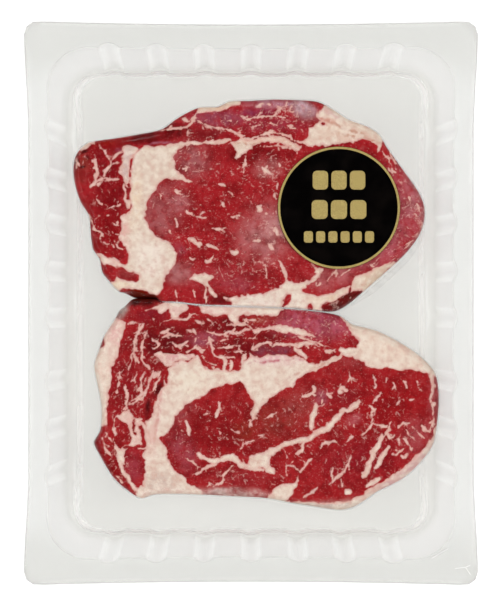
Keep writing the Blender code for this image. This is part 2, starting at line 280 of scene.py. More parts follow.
UPPER_VEINS = {
    "tail": (
        (1.3, (-57.8, 54), (-57.5, 50), (-57, 47), (-56.2, 43)),
        (1.7, (-72, 67.9), (-70.7, 61.2), (-71.7, 55.9), (-73.2, 53.3)),
        (1.4, (-70.7, 56.3), (-67.6, 57), (-65.4, 56.3), (-60.9, 56.7)),
        (1.5, (-67.6, 70.1), (-65.7, 67.5), (-63.5, 64.9), (-65.4, 61.9), (-67.2, 59.7),
         (-67.2, 57.4)),
        (1.5, (-63.5, 64.9), (-61.6, 66.8), (-59.4, 68.3)),
        (0.8, (-63.9, 63.4), (-60.1, 64.2)), (1.9, (-70.1, 54.8), (-69.5, 54.8)),
        (1.1, (-66.1, 43.2), (-64.2, 44.4), (-60.1, 45.1)), (1.3, (-66.3, 39.9), (-65.9, 39.9)),
        (1.0, (-74.3, 40.3), (-71.7, 34.3), (-69.1, 32.8), (-67.6, 30.2)),
        (0.8, (-67.5, 27.5), (-66.1, 26.2), (-65, 27)), (0.8, (-63.6, 27), (-62.7, 25.6)),
        (0.8, (-69.6, 72.6), (-68.4, 70.6)), (0.9, (-80.6, 66), (-78, 62.4)),
        (0.8, (-60.5, 35), (-63, 36.5)), (0.8, (-60.6, 31), (-63.2, 31.6)),
        (0.7, (-70.2, 47.4), (-68.4, 45.2)), (0.8, (-58.6, 24.4), (-61.2, 26.2), (-61.8, 29)),
    ),
    "cap": (
        (1.2, (-42, 79.6), (-36, 80), (-30.5, 80.2), (-27, 82), (-25.5, 84.5)),
        (1.0, (-29.5, 79.7), (-29.1, 74)), (1.2, (-25.5, 86), (-26.6, 82)),
        (1.3, (-25.5, 84.5), (-23.5, 82.3), (-19, 80.6), (-14, 79.9), (-10.5, 78.5), (-7, 77.5),
         (-3, 76.5)),
        (1.2, (-5.6, 85.2), (-2.6, 84.2)), (1.8, (-31.5, 84.5), (-28.5, 83.2)),
        (1.0, (-5, 84.2), (0, 84.5), (4.7, 85.1), (9.9, 85.1), (11.1, 87.3), (12.9, 88.8)),
        (0.9, (11, 85.4), (15.9, 84.5)), (0.7, (2, 90.4), (8, 90.8), (14, 90.2), (18, 91)),
        (0.8, (15, 88.4), (19.5, 87.6)), (0.6, (-9, 83), (-13, 83.6)),
        (1.0, (17, 80.6), (21.6, 79.6)), (0.7, (0, 80.6), (5, 81.2)), (0.7, (8, 82), (12.6, 81.4)),
    ),
    "seams": (
        (1.1, (-5, 74.6), (-0.5, 75.7), (4.7, 76.8), (6.9, 77.7), (9.9, 78.1), (13.7, 77.2),
         (17.4, 75.7), (20.4, 73.9), (23.4, 73.1)),
        (3.0, (-5, 73.1), (0, 73.9), (4.7, 74.6), (9.9, 75), (14.4, 74.2), (17.4, 73.1),
         (19.7, 71.6), (21.9, 70.5)),
        (0.8, (2.5, 71.2), (9.9, 71.8), (16.7, 71.2), (21.1, 70)),
        (0.9, (-2.2, 67.9), (-3, 63.4), (-4.5, 60.4)), (1.8, (-21, 73.4), (-15, 73.9), (-9, 74)),
        (0.9, (-20.9, 7.4), (-20.5, 0)), (1.2, (-34.4, 5.2), (-33.6, 0.3)),
        (1.0, (-26.9, 6.3), (-25.4, 2.5)), (2.2, (24, 73.6), (28, 73.2)),
    ),
    "eye": (
        (1.6, (-28.8, 29.4), (-26.5, 29), (-25, 27.2), (-23.5, 25.5)),
        (1.2, (-24.8, 27.6), (-22.8, 26.4)), (1.3, (-20.2, 26.4), (-17.9, 25.7), (-14.9, 24.6)),
        (3.0, (-7.6, 23.3), (-6.8, 23.1)), (1.3, (-17.2, 33.9), (-14.6, 33.7), (-12.3, 33.4)),
        (1.0, (-8.6, 39.5), (-5.6, 40.3)),
        (1.1, (-29.1, 42.1), (-27.6, 40.3), (-25.4, 39.1), (-22.8, 39.1), (-20.5, 38.8)),
        (1.0, (-23.2, 39.9), (-21.7, 41.8)), (1.0, (-34.4, 38.4), (-34, 36.5), (-34.1, 34.7)),
        (1.2, (-37.2, 32.4), (-37.1, 31.6)), (1.2, (-14.9, 47), (-13.4, 45.5), (-12, 43.6)),
        (0.9, (-10.5, 51.1), (-8.6, 49.6)), (1.5, (-14.6, 54.1), (-11.6, 53)),
        (0.9, (-34.7, 52.2), (-32.9, 50.3), (-30.6, 49.2)), (0.6, (-42.2, 50.3), (-40.3, 48.5)),
        (1.1, (-31, 61.2), (-29.1, 61.9), (-28, 63.4)), (1.0, (-29.1, 61.9), (-29.5, 60.4)),
        (1.0, (-17.2, 21.6), (-19, 19.3), (-20.9, 19)), (0.9, (-28.8, 20.5), (-25.8, 20.1)),
        (1.1, (-3.7, 19), (-3.4, 17.1)), (1.3, (5.1, 61.9), (7.3, 60.4), (9.9, 58.9)),
        (1.4, (12.7, 63.6), (13.2, 63.1)), (0.9, (12.5, 54.4), (11.8, 52.2)),
        (1.0, (10.3, 50.7), (11.1, 47.7)), (2.6, (3.7, 43.8), (4.4, 43.2)),
        (1.4, (6.8, 41.4), (7.3, 40.5)), (2.4, (11.6, 33.6), (12.4, 31.6)),
        (1.0, (1, 28.3), (4.7, 29)), (0.9, (8.1, 27.5), (9.6, 24.9)),
        (0.9, (1.3, 18.6), (4.7, 19.3), (6.9, 15.6), (7.3, 11.9), (5.8, 10.7)),
        (0.9, (27.9, 18.2), (29.7, 16.3), (31.6, 14.5)), (0.8, (35.3, 10.7), (39.1, 14.5)),
        (0.7, (29, 7.4), (32.3, 9.6)), (0.8, (39.8, 11.1), (44.3, 15.6)),
        (0.9, (54.7, 17.5), (57.7, 16.4)), (0.8, (60, 69.4), (62, 66.4)),
        (1.1, (72.5, 48.2), (72.9, 47.2)), (0.7, (67.4, 56.4), (69, 54)),
        (0.9, (62.8, 61.4), (64.4, 58.2)), (0.8, (74.8, 41.4), (76.8, 39)),
        (0.8, (64, 69), (65.6, 65), (66, 61)), (0.7, (61.4, 67.6), (63.6, 63.8), (64.4, 59.4)),
        (1.0, (76.4, 46), (77.4, 42.4)), (0.8, (78.6, 39), (77.4, 34), (75, 30)),
        (0.8, (74, 29), (69.6, 23.4)), (0.7, (66, 20.8), (63, 17.6)),
    ),
}

# Fat of the lower steak
LOWER_FAT = {
    "rim down the tail": (
        (-63.4, -7.2), (-59, -7.4), (-56.8, -8.2), (-57.1, -10.4), (-58.3, -14.1),
        (-59.4, -18.6), (-60.9, -23.1), (-62.7, -26.8), (-64.2, -31.3), (-63.9, -33.6),
        (-64.6, -38.8), (-65.7, -43.3), (-66.1, -47.7), (-66, -52.2), (-65.7, -55.2),
        (-67.6, -56.7), (-71.5, -57), (-71, -47), (-73.4, -36), (-74.2, -27), (-70, -16)),
    "kernel": (
        (-37.7, -29.4), (-35.9, -28), (-33.2, -27), (-29.5, -26.8), (-26.5, -25.3), (-25, -24.2),
        (-23.9, -26.1), (-22.4, -28.7), (-19.8, -29.7), (-15.3, -30.2), (-5.6, -30.6),
        (-3.6, -27.4), (0.6, -24.4), (4.5, -25), (7.5, -23.8), (14.9, -23.8), (20.9, -24.2),
        (24.2, -25.6), (27.6, -27.6), (31.4, -26.8), (40.3, -24), (41.5, -25.3), (35.8, -27.6),
        (29.9, -30.6), (24.6, -32.1), (21.7, -34.3), (18.7, -37.7), (14.9, -40.3), (11.2, -42.5),
        (7.5, -44.8), (5.2, -47), (4.5, -50), (3, -51.5), (1.5, -53), (-0.4, -55.2), (1.4, -47),
        (1.5, -44.8), (0, -43), (-2.6, -38.8), (-4.1, -36.9), (-5.6, -35.8), (-7.8, -36.5),
        (-10.8, -36.9), (-15.3, -38.8), (-19.8, -40.6), (-23.5, -43.3), (-28, -45.9),
        (-30.3, -47.7), (-34, -50.4), (-35.1, -53.7), (-36.2, -56.7), (-38.5, -60.1),
        (-41.1, -61.6), (-41.5, -62.7), (-40.3, -64.9), (-38.8, -67.2), (-38.8, -70.9),
        (-36.6, -73.1), (-35.9, -75), (-34, -77.6), (-31, -78.7), (-28, -82.8), (-25, -84.3),
        (-22.4, -85.5), (-25, -89.6), (-45.2, -90), (-52, -91), (-52.9, -88), (-51.6, -84.3),
        (-49.3, -81.4), (-48.9, -77.6), (-49.3, -73.9), (-48.2, -66), (-46.7, -63.4),
        (-47.4, -59.7), (-48.2, -55.2), (-45.9, -51.5), (-43.9, -46.5), (-41.6, -42),
        (-40.3, -39.5), (-39.2, -36.5), (-38.9, -32.8)),
    "band at the upper right": (
        (40.3, -3), (44.8, -10.4), (46.7, -14.1), (49.7, -16.4), (49.3, -19), (46.3, -20.1),
        (40.3, -20.5), (41.1, -23.8), (44.8, -24.6), (48.5, -25.3), (51.5, -26.8), (53.8, -29.1),
        (57.5, -29.8), (64.2, -29.8), (68.7, -31.3), (71.7, -30.9), (74.7, -30.2), (77.7, -31.3),
        (81, -32.4), (82.1, -35.8), (84.6, -38.5), (88, -33), (84, -26), (70, -15), (56, -8.5)),
    "strip along the upper steak": (
        (14.9, -2.9), (13.4, -3.9), (11.9, -5.2), (7.5, -5.8), (0, -5.6), (-4.1, -5.4),
        (-7.1, -9.7), (-9.3, -8.2), (-10.8, -5.9), (-14.6, -5.9), (-20.5, -5.2), (-23.5, -2.9),
        (-23.4, 0.6), (-10, 0.2), (4, -0.6), (14, -1)),
    "pale skin round the right edge": (
        (88, -31.5), (92, -40), (92, -50), (89.5, -62.5), (83.5, -73), (72.5, -82.5), (60, -90.5),
        (50, -95.5), (38, -98), (22, -96.5), (2, -95), (2, -89.9), (14, -90.3), (26, -90.6),
        (38, -91.3), (47, -89.4), (57, -83.4), (68, -76.6), (76, -69.4), (81.6, -62.4),
        (84.6, -56), (86.3, -46), (86.3, -39)),
    "curl by the notch": (
        (-37.5, 1.4), (-30, 1.2), (-28.5, -2), (-31, -4), (-33.5, -6.8), (-36, -7.6),
        (-37.3, -4)),
    "pink fat in the tail": (
        (-62.6, -53), (-59.4, -50.4), (-56.4, -49.2), (-53, -51.6), (-49.8, -54), (-47, -58),
        (-45.6, -62), (-46.4, -67), (-50, -66.6), (-54.2, -66), (-57.4, -68), (-58.2, -73),
        (-58.8, -77.6), (-60.8, -72.5), (-62, -68), (-62.8, -64), (-63.4, -58)),
    "pale edge by the notch": (
        (-49.3, -3.2), (-46, -2.4), (-42, -0.6), (-38.5, 0.9), (-37, 0.9), (-37.5, -2.5),
        (-41, -4), (-43, -2.6), (-47, -2.6)),
    "pink tissue over the kernel": (
        (-44, -22.6), (-38, -22.5), (-33, -23.5), (-28, -23), (-26, -24), (-27, -26),
        (-34, -26.8), (-38, -28.6), (-41, -26.6)),
    "seam in the cap": (
        (0, -12.6), (4.5, -11.5), (9, -10.4), (14.9, -10.2), (20.2, -11.2), (24.6, -13),
        (29.1, -15.3), (24.6, -14.9), (19.4, -14.1), (13.4, -13), (7.5, -12.6), (3, -13.8)),
    "fat on the lower edge": (
        (21.7, -79.5), (20.5, -84.3), (17.9, -88.8), (14, -92), (8, -91), (8.2, -88.4),
        (9.7, -85.8), (14.9, -83.6), (19.4, -82.8)),
    "knot of seams": (
        (0, -71.3), (4.5, -69), (7.5, -68.7), (9.7, -69.8), (8.2, -73.1), (10.8, -76.1),
        (10.8, -78.4), (7.5, -77.6), (4.5, -75), (0, -75.4)),
    "fat at the lower right": (
        (52, -84.8), (52.5, -82.5), (56, -80.6), (58.5, -79.8), (58.8, -81.5), (55.5, -83.5)),
}
LOWER_LEAN_IN_FAT = {
    "island": (
        (-57.2, -74.4), (-55.8, -71.6), (-53, -70.8), (-50.2, -72.2), (-49.3, -75.5),
        (-49.2, -80), (-50, -83.5), (-52.5, -81.5), (-55, -78.5), (-56.8, -77)),
    "lean fleck in the pink fat": (
        (-62.6, -53), (-60, -52.8), (-56.6, -56.2), (-54.8, -63.4), (-57, -64.4),
        (-60.8, -63.4), (-61.9, -59)),
    "lean nodule in the pink fat": (
        (-62.6, -61), (-60, -60.4), (-58.4, -63), (-58.8, -66.4), (-61.4, -66)),
    "fine line in the pink fat": (
        (-54, -52.2), (-52.8, -55.4), (-52.6, -59.4), (-53.5, -59.6), (-54.2, -55.6)),
    "line under the pink fat": (
        (-58, -65.2), (-54, -65.6), (-49.4, -64.8), (-49.4, -66), (-54, -66.8), (-58, -66)),
    "dark line in the pink fat": (
        (-51.2, -55.5), (-49.6, -57), (-48.6, -61), (-48, -65), (-49.6, -64.5), (-50.4, -60)),
    "upper slit beside the kernel": (
        (-40.8, -35.6), (-39.9, -38), (-42, -41.5), (-44.8, -44.6), (-45.4, -43.6),
        (-42.8, -40)),
    "lower slit beside the kernel": (
        (-48, -44.6), (-46, -45.5), (-46.4, -49), (-47.2, -53), (-48.4, -51.5)),
    "sliver in the rim": ((-70.5, -15.6), (-68.2, -15.4), (-68.2, -20), (-71.6, -21)),
    "streak in the right edge": (
        (84, -34.5), (86.8, -35.5), (87, -41), (86, -49), (85, -55.5), (84.2, -50), (84.9, -42)),
    "slit in the kernel": ((-38, -30), (-37, -33), (-38.2, -36.5), (-39, -33)),
}
LOWER_VEINS = {
    "cap": (
        (1.2, (-41.8, -10.2), (-37.4, -7.3), (-31.6, -8), (-28, -6), (-25.7, -5.1)),
        (1.0, (-40.7, -15.6), (-36.2, -14.1), (-31.7, -15.3)),
        (1.0, (-45.2, -15.6), (-42.2, -18.6), (-45.2, -20.5)),
        (1.1, (-19.8, -12.6), (-15.3, -14.1), (-10.8, -13.8), (-5.6, -13.4), (0, -12.3)),
        (0.9, (-10.8, -10.4), (-5.6, -10), (-1.1, -10.4), (1.9, -13.4)),
        (1.4, (-19, -15.6), (-18.3, -19.4), (-17.6, -23.1), (-15.3, -24.6), (-10.8, -25),
         (-7.8, -24.6)),
        (0.9, (-15.3, -20.1), (-10.8, -19.7), (-4.9, -20)),
        (1.4, (9, -19.4), (14.9, -18.6), (20.9, -19.4), (24.6, -17.9)),
        (1.8, (21, -20), (26, -18.6), (30, -19.4)), (1.4, (22, -15.4), (27, -17.4), (33, -19)),
        (2.6, (20.2, -20.9), (23.2, -23.1), (25.4, -25.3)), (0.8, (-27, -12), (-24.4, -16)),
        (0.8, (-33, -18.6), (-28.4, -19.4)), (0.7, (28, -20.4), (34, -21.6), (38, -21)),
        (0.7, (-3.4, -16.4), (3.2, -16.2)), (0.8, (-25.6, -8.8), (-21, -9.4)),
        (1.7, (-12.8, -31), (-11.8, -27), (-12.6, -25.2)), (1.5, (-9.4, -31), (-9.2, -26.4)),
        (1.6, (-4.4, -31), (-3.6, -27.2), (-2.6, -23.4)), (1.4, (0.6, -26), (-0.4, -22.4)),
        (1.2, (0.8, -21.4), (5.6, -18.8), (12, -18.4)), (1.1, (-41.6, -13.4), (-37.6, -12.4)),
        (0.9, (-36, -17.6), (-33, -19.4), (-29.6, -17.6)), (0.9, (-31, -12), (-27.6, -13.2)),
        (0.8, (-25, -19), (-22, -21.6)), (0.9, (-30, -22), (-25.6, -20.4), (-22, -22.8)),
        (1.0, (-23, -24.6), (-20, -27.4), (-16.6, -28.6)), (0.8, (-14, -17), (-9.6, -16.4)),
        (0.8, (-3, -7.6), (3, -8.2)), (0.9, (-20, -7.4), (-17, -10)), (0.8, (-8, -22.4), (-2, -21.8)),
    ),
    "tail": (
        (1.2, (-49.3, -9.7), (-51.2, -13.4), (-53, -17.9), (-53.8, -21.6), (-53, -26.1)),
        (1.3, (-47.1, -12.6), (-49.3, -16.4), (-50, -20.9), (-49.3, -26.1), (-45.9, -29.8)),
        (0.9, (-56, -30.6), (-54.9, -25.3), (-53.5, -20)),
        (0.8, (-57.9, -37.3), (-57.1, -41.8), (-57.9, -46.3)),
        (1.2, (-48.4, -30.7), (-50.2, -35), (-50.5, -39.4), (-49.1, -42.4)),
        (1.3, (-44, -30.7), (-46.2, -35), (-49.1, -40.9), (-53.5, -44.5), (-55.7, -46)),
        (1.0, (-41, -33.4), (-43, -37.4), (-45, -41)),
        (2.2, (-44.2, -32.6), (-43.2, -33)),
        (1.0, (-56.4, -46.3), (-54.2, -43.6), (-50.4, -42.5), (-48.2, -40.3)),
        (0.9, (-68, -62.5), (-66, -67), (-63.4, -70.4)), (0.8, (-66.6, -60), (-63.6, -63)),
        (0.8, (-61.6, -78.6), (-58.6, -82)),
        (2.0, (-61, -66), (-59.8, -71), (-58.8, -76), (-56.6, -80), (-54.2, -83), (-52.4, -86)),
        (1.1, (-57.5, -44), (-57.2, -48), (-54.6, -52.4), (-50, -53)),
        (1.0, (-61.8, -52.6), (-60, -56), (-57.6, -59)), (0.9, (-63.6, -57), (-61.6, -61)),
        (0.8, (-60, -30), (-60.6, -36), (-61.6, -41)), (0.8, (-52.6, -31.6), (-53.6, -36)),
        (0.6, (-56, -9.6), (-53.2, -8.4), (-50.6, -9.6)), (0.8, (-45, -7), (-43.4, -10)),
        (0.8, (-47.6, -33), (-48.6, -36.6)), (0.9, (-41.6, -31), (-42.6, -34.4)),
    ),
    "eye": (
        (2.2, (50, -45), (47.8, -47), (44.8, -48.9), (41.8, -50), (39.6, -52.2)),
        (3.2, (42, -50.4), (39.6, -52.2), (36.6, -55.2), (33.6, -57.5), (29.9, -58.9)),
        (2.8, (31, -58.4), (26.9, -61.9), (22.4, -62.7), (15.7, -64.5)),
        (3.2, (17.7, -64), (11.2, -67.2), (7.5, -68.7), (3, -70.2), (0, -70.9)),
        (2.6, (29.1, -45.5), (28.8, -49.2), (27.6, -53.7), (27.3, -57.5)),
        (1.0, (29, -46.6), (32.1, -46.4), (33.6, -45.9)), (1.0, (28.9, -46), (28, -44.8)),
        (1.4, (25.8, -42.1), (27.6, -41), (28.8, -39.5), (28.4, -37.7)),
        (1.2, (25.8, -42.1), (23.2, -42.9)), (1.2, (27.6, -41), (29.5, -41.8)),
        (1.0, (44.8, -31.3), (45.2, -34.3), (47.8, -35.8)), (0.9, (45, -34.6), (44.1, -35.8)),
        (1.5, (40.9, -40.2), (42.1, -40.8)), (1.2, (56, -55.2), (53.8, -57.8), (50.8, -60.4)),
        (1.2, (56, -55.5), (59.7, -56.7), (62, -57.5)),
        (1.0, (65, -53.7), (63.5, -56.7), (62, -60.1), (59, -63.4)),
        (2.8, (60, -61), (59, -63.4), (57.1, -67.2), (55.3, -70.9), (53.8, -73.9)),
        (2.2, (54.4, -72.9), (53.4, -76.9), (50.8, -79.5)),
        (2.4, (63.5, -66), (61.2, -68.7), (59, -72.4), (56.8, -75)),
        (1.2, (69.5, -66.4), (66.5, -68.7), (64.2, -69.4)),
        (1.0, (71.4, -68.6), (70.2, -70.4), (69, -69.2)),
        (1.2, (45.9, -70.5), (44.8, -73.1), (42.6, -76.9), (39.6, -79.1), (37.3, -81.4)),
        (1.4, (37.3, -76.1), (37, -82.8)), (1.4, (41.1, -80.6), (41.5, -84.3)),
        (3.0, (43.6, -86.2), (44.6, -86.2)),
        (1.2, (16.1, -78.7), (16.1, -74.6), (19.4, -74.6), (22.4, -76.9), (24.6, -73.9),
         (27.6, -71.6)),
        (1.4, (30.2, -84.3), (27.6, -86.6), (24.3, -88.8)),
        (2.4, (5, -76.1), (0, -74.6), (-4.1, -73.9), (-7.1, -71.6), (-9.3, -70.2),
         (-15.3, -71.6), (-19.8, -71.3), (-22.8, -70.2), (-23.9, -68.3)),
        (1.2, (-7.8, -73.9), (-10.1, -76.1), (-12.3, -78.7), (-13.8, -82.1), (-19, -82.5)),
        (1.4, (-15, -73), (-19.8, -74.6), (-22.8, -76.9), (-26.5, -78)),
        (1.2, (-28.8, -71.6), (-25, -73.9), (-23.9, -76.1)),
        (1.6, (-29.5, -54.1), (-28.8, -56.7), (-28.4, -60.4)),
        (1.6, (-14.9, -45.9), (-15.3, -48.5), (-16.4, -51.5)), (0.8, (-21.3, -50.7), (-19.8, -50.4)),
        (1.2, (3.7, -50), (0.7, -53.7), (-0.8, -56.7)), (0.8, (-8.6, -57.5), (-5.6, -59.3)),
        (1.2, (-14.2, -58.6), (-13.4, -58.6)), (0.8, (-4.9, -67.2), (-2.6, -64.5), (1.1, -62.7)),
        (1.0, (31.7, -66.8), (34.4, -63.4), (38.1, -62.7), (41.8, -65.3)),
        (1.6, (21.3, -68.7), (23.9, -66.4), (24.6, -62.7)), (0.9, (45, -61.5), (46.2, -61.5)),
        (0.8, (56.8, -45.5), (57.1, -43.3), (59, -41.8)), (0.9, (55.3, -50), (57.5, -47.7)),
        (0.8, (65, -36.5), (66.5, -39.5)), (0.9, (72.8, -44.8), (74.7, -43.3)),
        (0.8, (62.5, -34), (61.6, -36.6)), (0.8, (57, -44.5), (58.4, -42), (59.6, -40.5)),
        (0.9, (54.6, -46.5), (56, -48), (57, -50)), (0.8, (55, -51), (56.5, -54)),
        (0.8, (66, -47), (68, -45)), (0.9, (67.5, -57), (69.5, -55.5), (71.4, -56)),
        (1.3, (40.5, -41), (42, -39), (44, -40)), (0.9, (46.5, -55), (47, -57)),
        (1.0, (44, -63.2), (46.5, -61.4)), (0.9, (34.6, -41), (36.6, -43.6)),
        (0.8, (56.6, -33), (57, -36.4), (56.4, -38.4)), (0.8, (70, -36), (71.2, -39.4)),
        (1.0, (62, -59.6), (64, -62), (66, -60.6)), (1.0, (67.6, -62), (68.4, -65.6)),
        (0.8, (12, -66), (16, -68.4), (17.4, -70.4)), (0.8, (3, -60.6), (7.6, -61.2)),
        (0.8, (5.6, -53.6), (11.6, -50.4)), (0.8, (76, -36), (78, -40)),
        (1.0, (82.1, -31.8), (84, -36), (83, -40), (82, -46), (83.6, -52), (82.1, -58)),
        (2.2, (83, -47), (83.6, -47)), (1.0, (71, -58), (75.6, -63.4)),
        (1.0, (74.4, -56.4), (79.4, -61.8)), (0.9, (78, -55.6), (81.4, -59)),
        (1.2, (69.6, -62), (73.4, -67)),
    ),
}

# Colours of the lean, in soft patches: middle, half sizes, turn in degrees, colour, strength
UPPER_LEAN = "#A41C22"
UPPER_PATCHES = (
    # The paler, greyer pinks at (-28, 66), (-41, 42), (-32, 45), (6, 32) and (12, 33) are painted sheen
    # of the film
    (-28, 66, 9, 9, 0, "#A05456", 0.90), (-41, 42, 9, 14, -20, "#A25254", 0.90),
    (-32, 45, 5, 4, 0, "#B67274", 0.60), (2, 68, 14, 5, 0, "#74080E", 0.85),
    (-16, 12, 14, 6, 0, "#A0434A", 0.35), (6, 32, 12, 13, 0, "#BE7A7A", 0.75),
    (-10, 44, 16, 9, 0, "#94080F", 0.55), (-22, 22, 10, 5, 0, "#931016", 0.50),
    (8, 61.5, 6, 4.5, 0, "#B87C7A", 0.60), (12, 33, 6, 8, 20, "#C08684", 0.50),
    (-44, 76.5, 18, 3.4, 9, "#5A0508", 0.95), (-18, 77, 10, 3, 0, "#7E161C", 0.85),
    (-15, 84.5, 12, 3.6, 0, "#94485A", 0.90), (9, 91.5, 12, 2.6, 0, "#B4707A", 0.80),
    (10, 81.5, 16, 4.6, 0, "#98303E", 0.70), (3, 87.4, 8, 2.2, 0, "#86324E", 0.80),
    (23.5, 89, 7, 4, -28, "#CFB2BA", 0.85), (14, 91.6, 9, 1.6, -4, "#B58290", 0.60),
    (-67, 64, 7, 9, 0, "#7E0812", 0.90),
    (-64, 48, 9, 10, 0, "#7A040C", 0.90), (-66, 32, 8, 10, 0, "#88040B", 0.90),
    (-77, 63, 4, 7, 0, "#8C2E26", 0.80), (-75.6, 70.0, 3.0, 1.1, 32, "#170302", 0.98),
    (-79.8, 64.6, 2.0, 1.2, 40, "#220504", 0.90), (-77.4, 62.6, 1.4, 0.8, 0, "#2A0605", 0.90),
    (-74.6, 66.6, 0.9, 1.4, 0, "#3A0806", 0.85), (-79.4, 67.4, 1.2, 0.7, 30, "#3A0806", 0.85),
    (-66, 73.6, 9, 2.6, 6, "#8E120C", 0.80), (-56, 78.4, 22, 0.9, 9, "#2A0605", 0.80),
    (-60.4, 69.4, 1.6, 1.6, 0, "#94708E", 0.50), (-41, 73.0, 6, 0.6, 5, "#B08098", 0.40),
    # The pale pinks at (70, 44), (74, 50) and (79, 41), right of the label, are painted sheen of the
    # film
    (70, 44, 12, 18, 0, "#AE5059", 0.85), (74, 50, 4, 12, 0, "#B8747A", 0.50),
    (60, 24, 14, 8, 40, "#B05660", 0.80), (38, 12, 11, 5, 20, "#BC6A6C", 0.75),
    # The patch at (42, -0.6) is painted shade on the right side's foot, which slopes away in shadow
    (42, -0.6, 13, 4.4, 28, "#4A0E08", 1.00), (-14, 1.4, 7, 2.4, 0, "#640C10", 0.85),
    (-33, 14, 6, 5, 0, "#B87A7A", 0.70), (-33, 24, 3.4, 3.4, 0, "#A04C5A", 0.80),
    (-5, 8, 7, 3, 0, "#9C4450", 0.50), (0, 12.5, 5, 3, 0, "#7A161C", 0.60),
    (-68, 13, 4, 5, 0, "#7E0E12", 0.80), (-56, 13, 5, 3, 0, "#9C3C3C", 0.70),
    # The two patches at (-50, 4.8) and (-49, 2.2) are painted shade in the notch
    (-50, 4.8, 8, 2.2, -12, "#7A2410", 0.95), (-49, 2.2, 6, 1.4, 0, "#3A0C08", 0.97),
    (79, 41, 2.4, 9, 0, "#B66468", 0.55),
)
LOWER_LEAN = "#A21C20"
LOWER_PATCHES = (
    (62, -46, 20, 13, 0, "#960A10", 0.80), (-12, -58, 20, 12, 0, "#880A10", 0.90),
    (12, -54, 12, 9, 0, "#8C2C24", 0.75), (-3, -58, 6, 5, 0, "#8E3020", 0.50),
    (50, -72, 20, 10, 10, "#8C121C", 0.85), (-6, -80, 14, 5, 0, "#93282C", 0.60),
    (22, -46, 9, 7, 30, "#983A36", 0.60), (47, -27.5, 9, 3, 0, "#9A3A3A", 0.60),
    (31.8, -43, 3.6, 3.6, 0, "#A04A56", 0.85), (43, -43, 6, 5, 0, "#80161E", 0.70),
    (47, -53, 4, 2.5, 20, "#B45258", 0.70), (-32, -50, 5, 9, -30, "#9A4648", 0.55),
    (-31, -68, 6, 10, 20, "#9A4650", 0.60), (-40, -18, 13, 9, 0, "#66060C", 0.90),
    (-12, -10, 14, 4, 0, "#6C060C", 0.85), (-22, -16.5, 7, 3.4, 0, "#9C5464", 0.65),
    (10, -15.2, 9, 2.4, 0, "#74080E", 0.85),
    (-4, -20, 12, 5, 0, "#70080E", 0.85), (8, -7.5, 9, 2.0, 0, "#9A3A26", 0.70),
    (28, -9.5, 18, 7, -6, "#B25466", 0.85), (34, -7, 6, 2, -10, "#8A2448", 0.40),
    (11, -21.8, 8.5, 2.6, 4, "#7A3C4C", 0.95), (-57, -38, 9, 20, 0, "#8C141A", 0.80),
    (-46, -5.5, 8, 3.5, 0, "#7C1420", 0.70), (-64, -74, 9, 10, -30, "#840A10", 0.85),
    (-71, -65, 2.6, 4, 0, "#70101A", 0.85), (-53, -76, 5, 8, 0, "#98303A", 0.80),
    (-42.6, -40, 4.4, 1.6, 60, "#3E0406", 0.95), (-47.2, -48.6, 1.6, 5, 0, "#4A0608", 0.90),
    (77, -62, 8, 9, 0, "#A84C50", 0.60), (45, -92, 46, 2.6, 4, "#B88078", 0.70),
    (-59.0, -4.6, 3.8, 2.6, 48, "#AEA198", 1.00), (-10, -87.4, 15, 2.6, 0, "#DBBFB6", 1.00),
    (-14, -86.9, 5, 0.9, 0, "#9A7870", 0.45), (84, -45, 3, 16, 0, "#A04448", 0.60),
    # The patch at (-51, 0) is painted shade in the notch, on the lower steak's edge
    (-51, 0.0, 7, 1.6, -6, "#3A0A06", 0.95),
)

# Colours of the fat, in the same form
UPPER_CREAM = "#DDC7B6"
UPPER_CREAM_PATCHES = (
    (-56, 64, 4, 10, 0, "#CDAFA9", 0.90), (-32, 14, 6, 6, 0, "#E0B4AE", 0.70),
    (-58, 33, 3, 10, 0, "#E0ACA2", 0.75), (-63, 19, 8, 3, 20, "#DDB4AC", 0.70),
    (-62, 8, 6, 4, 0, "#E6CBAE", 0.70), (-46, 20, 7, 12, 0, "#EFE0D4", 0.70),
    (25, 90, 8, 4, 0, "#D6B8BE", 0.90), (40, 80, 14, 7, -20, "#E0BEAA", 0.60),
    (44, 79.5, 13, 0.8, -22, "#C48E7A", 0.80), (50, 75.5, 9, 0.8, -12, "#BC7E68", 0.80),
    (34, 83.4, 4, 1.4, -12, "#CC8878", 0.70), (36, 87, 8, 1.4, -32, "#D8B0A8", 0.70),
    (-15, 89.5, 12, 3, 0, "#E4C0A4", 0.80), (-53, 48, 3, 16, 0, "#E8D0B4", 0.60),
    (-66, 50, 7, 24, 0, "#DFB0AA", 0.80), (-14, 79, 34, 5, 0, "#DFB4A8", 0.70),
    (8, 74.6, 16, 3, 0, "#E2B8A4", 0.70), (8, 72.4, 15, 0.8, -2, "#B86C54", 0.80),
    (-9.6, 70.6, 0.9, 3.4, 18, "#C07040", 0.80), (34, 1, 12, 4, 0, "#E0C2A8", 0.60),
    (0, 40, 40, 22, 0, "#E4C0B4", 0.40), (58, 11, 10, 6, 40, "#D6BAA0", 0.75),
    (8, 1, 22, 5, 0, "#E8D6CA", 0.75),
)
LOWER_CREAM = "#E2CCBC"
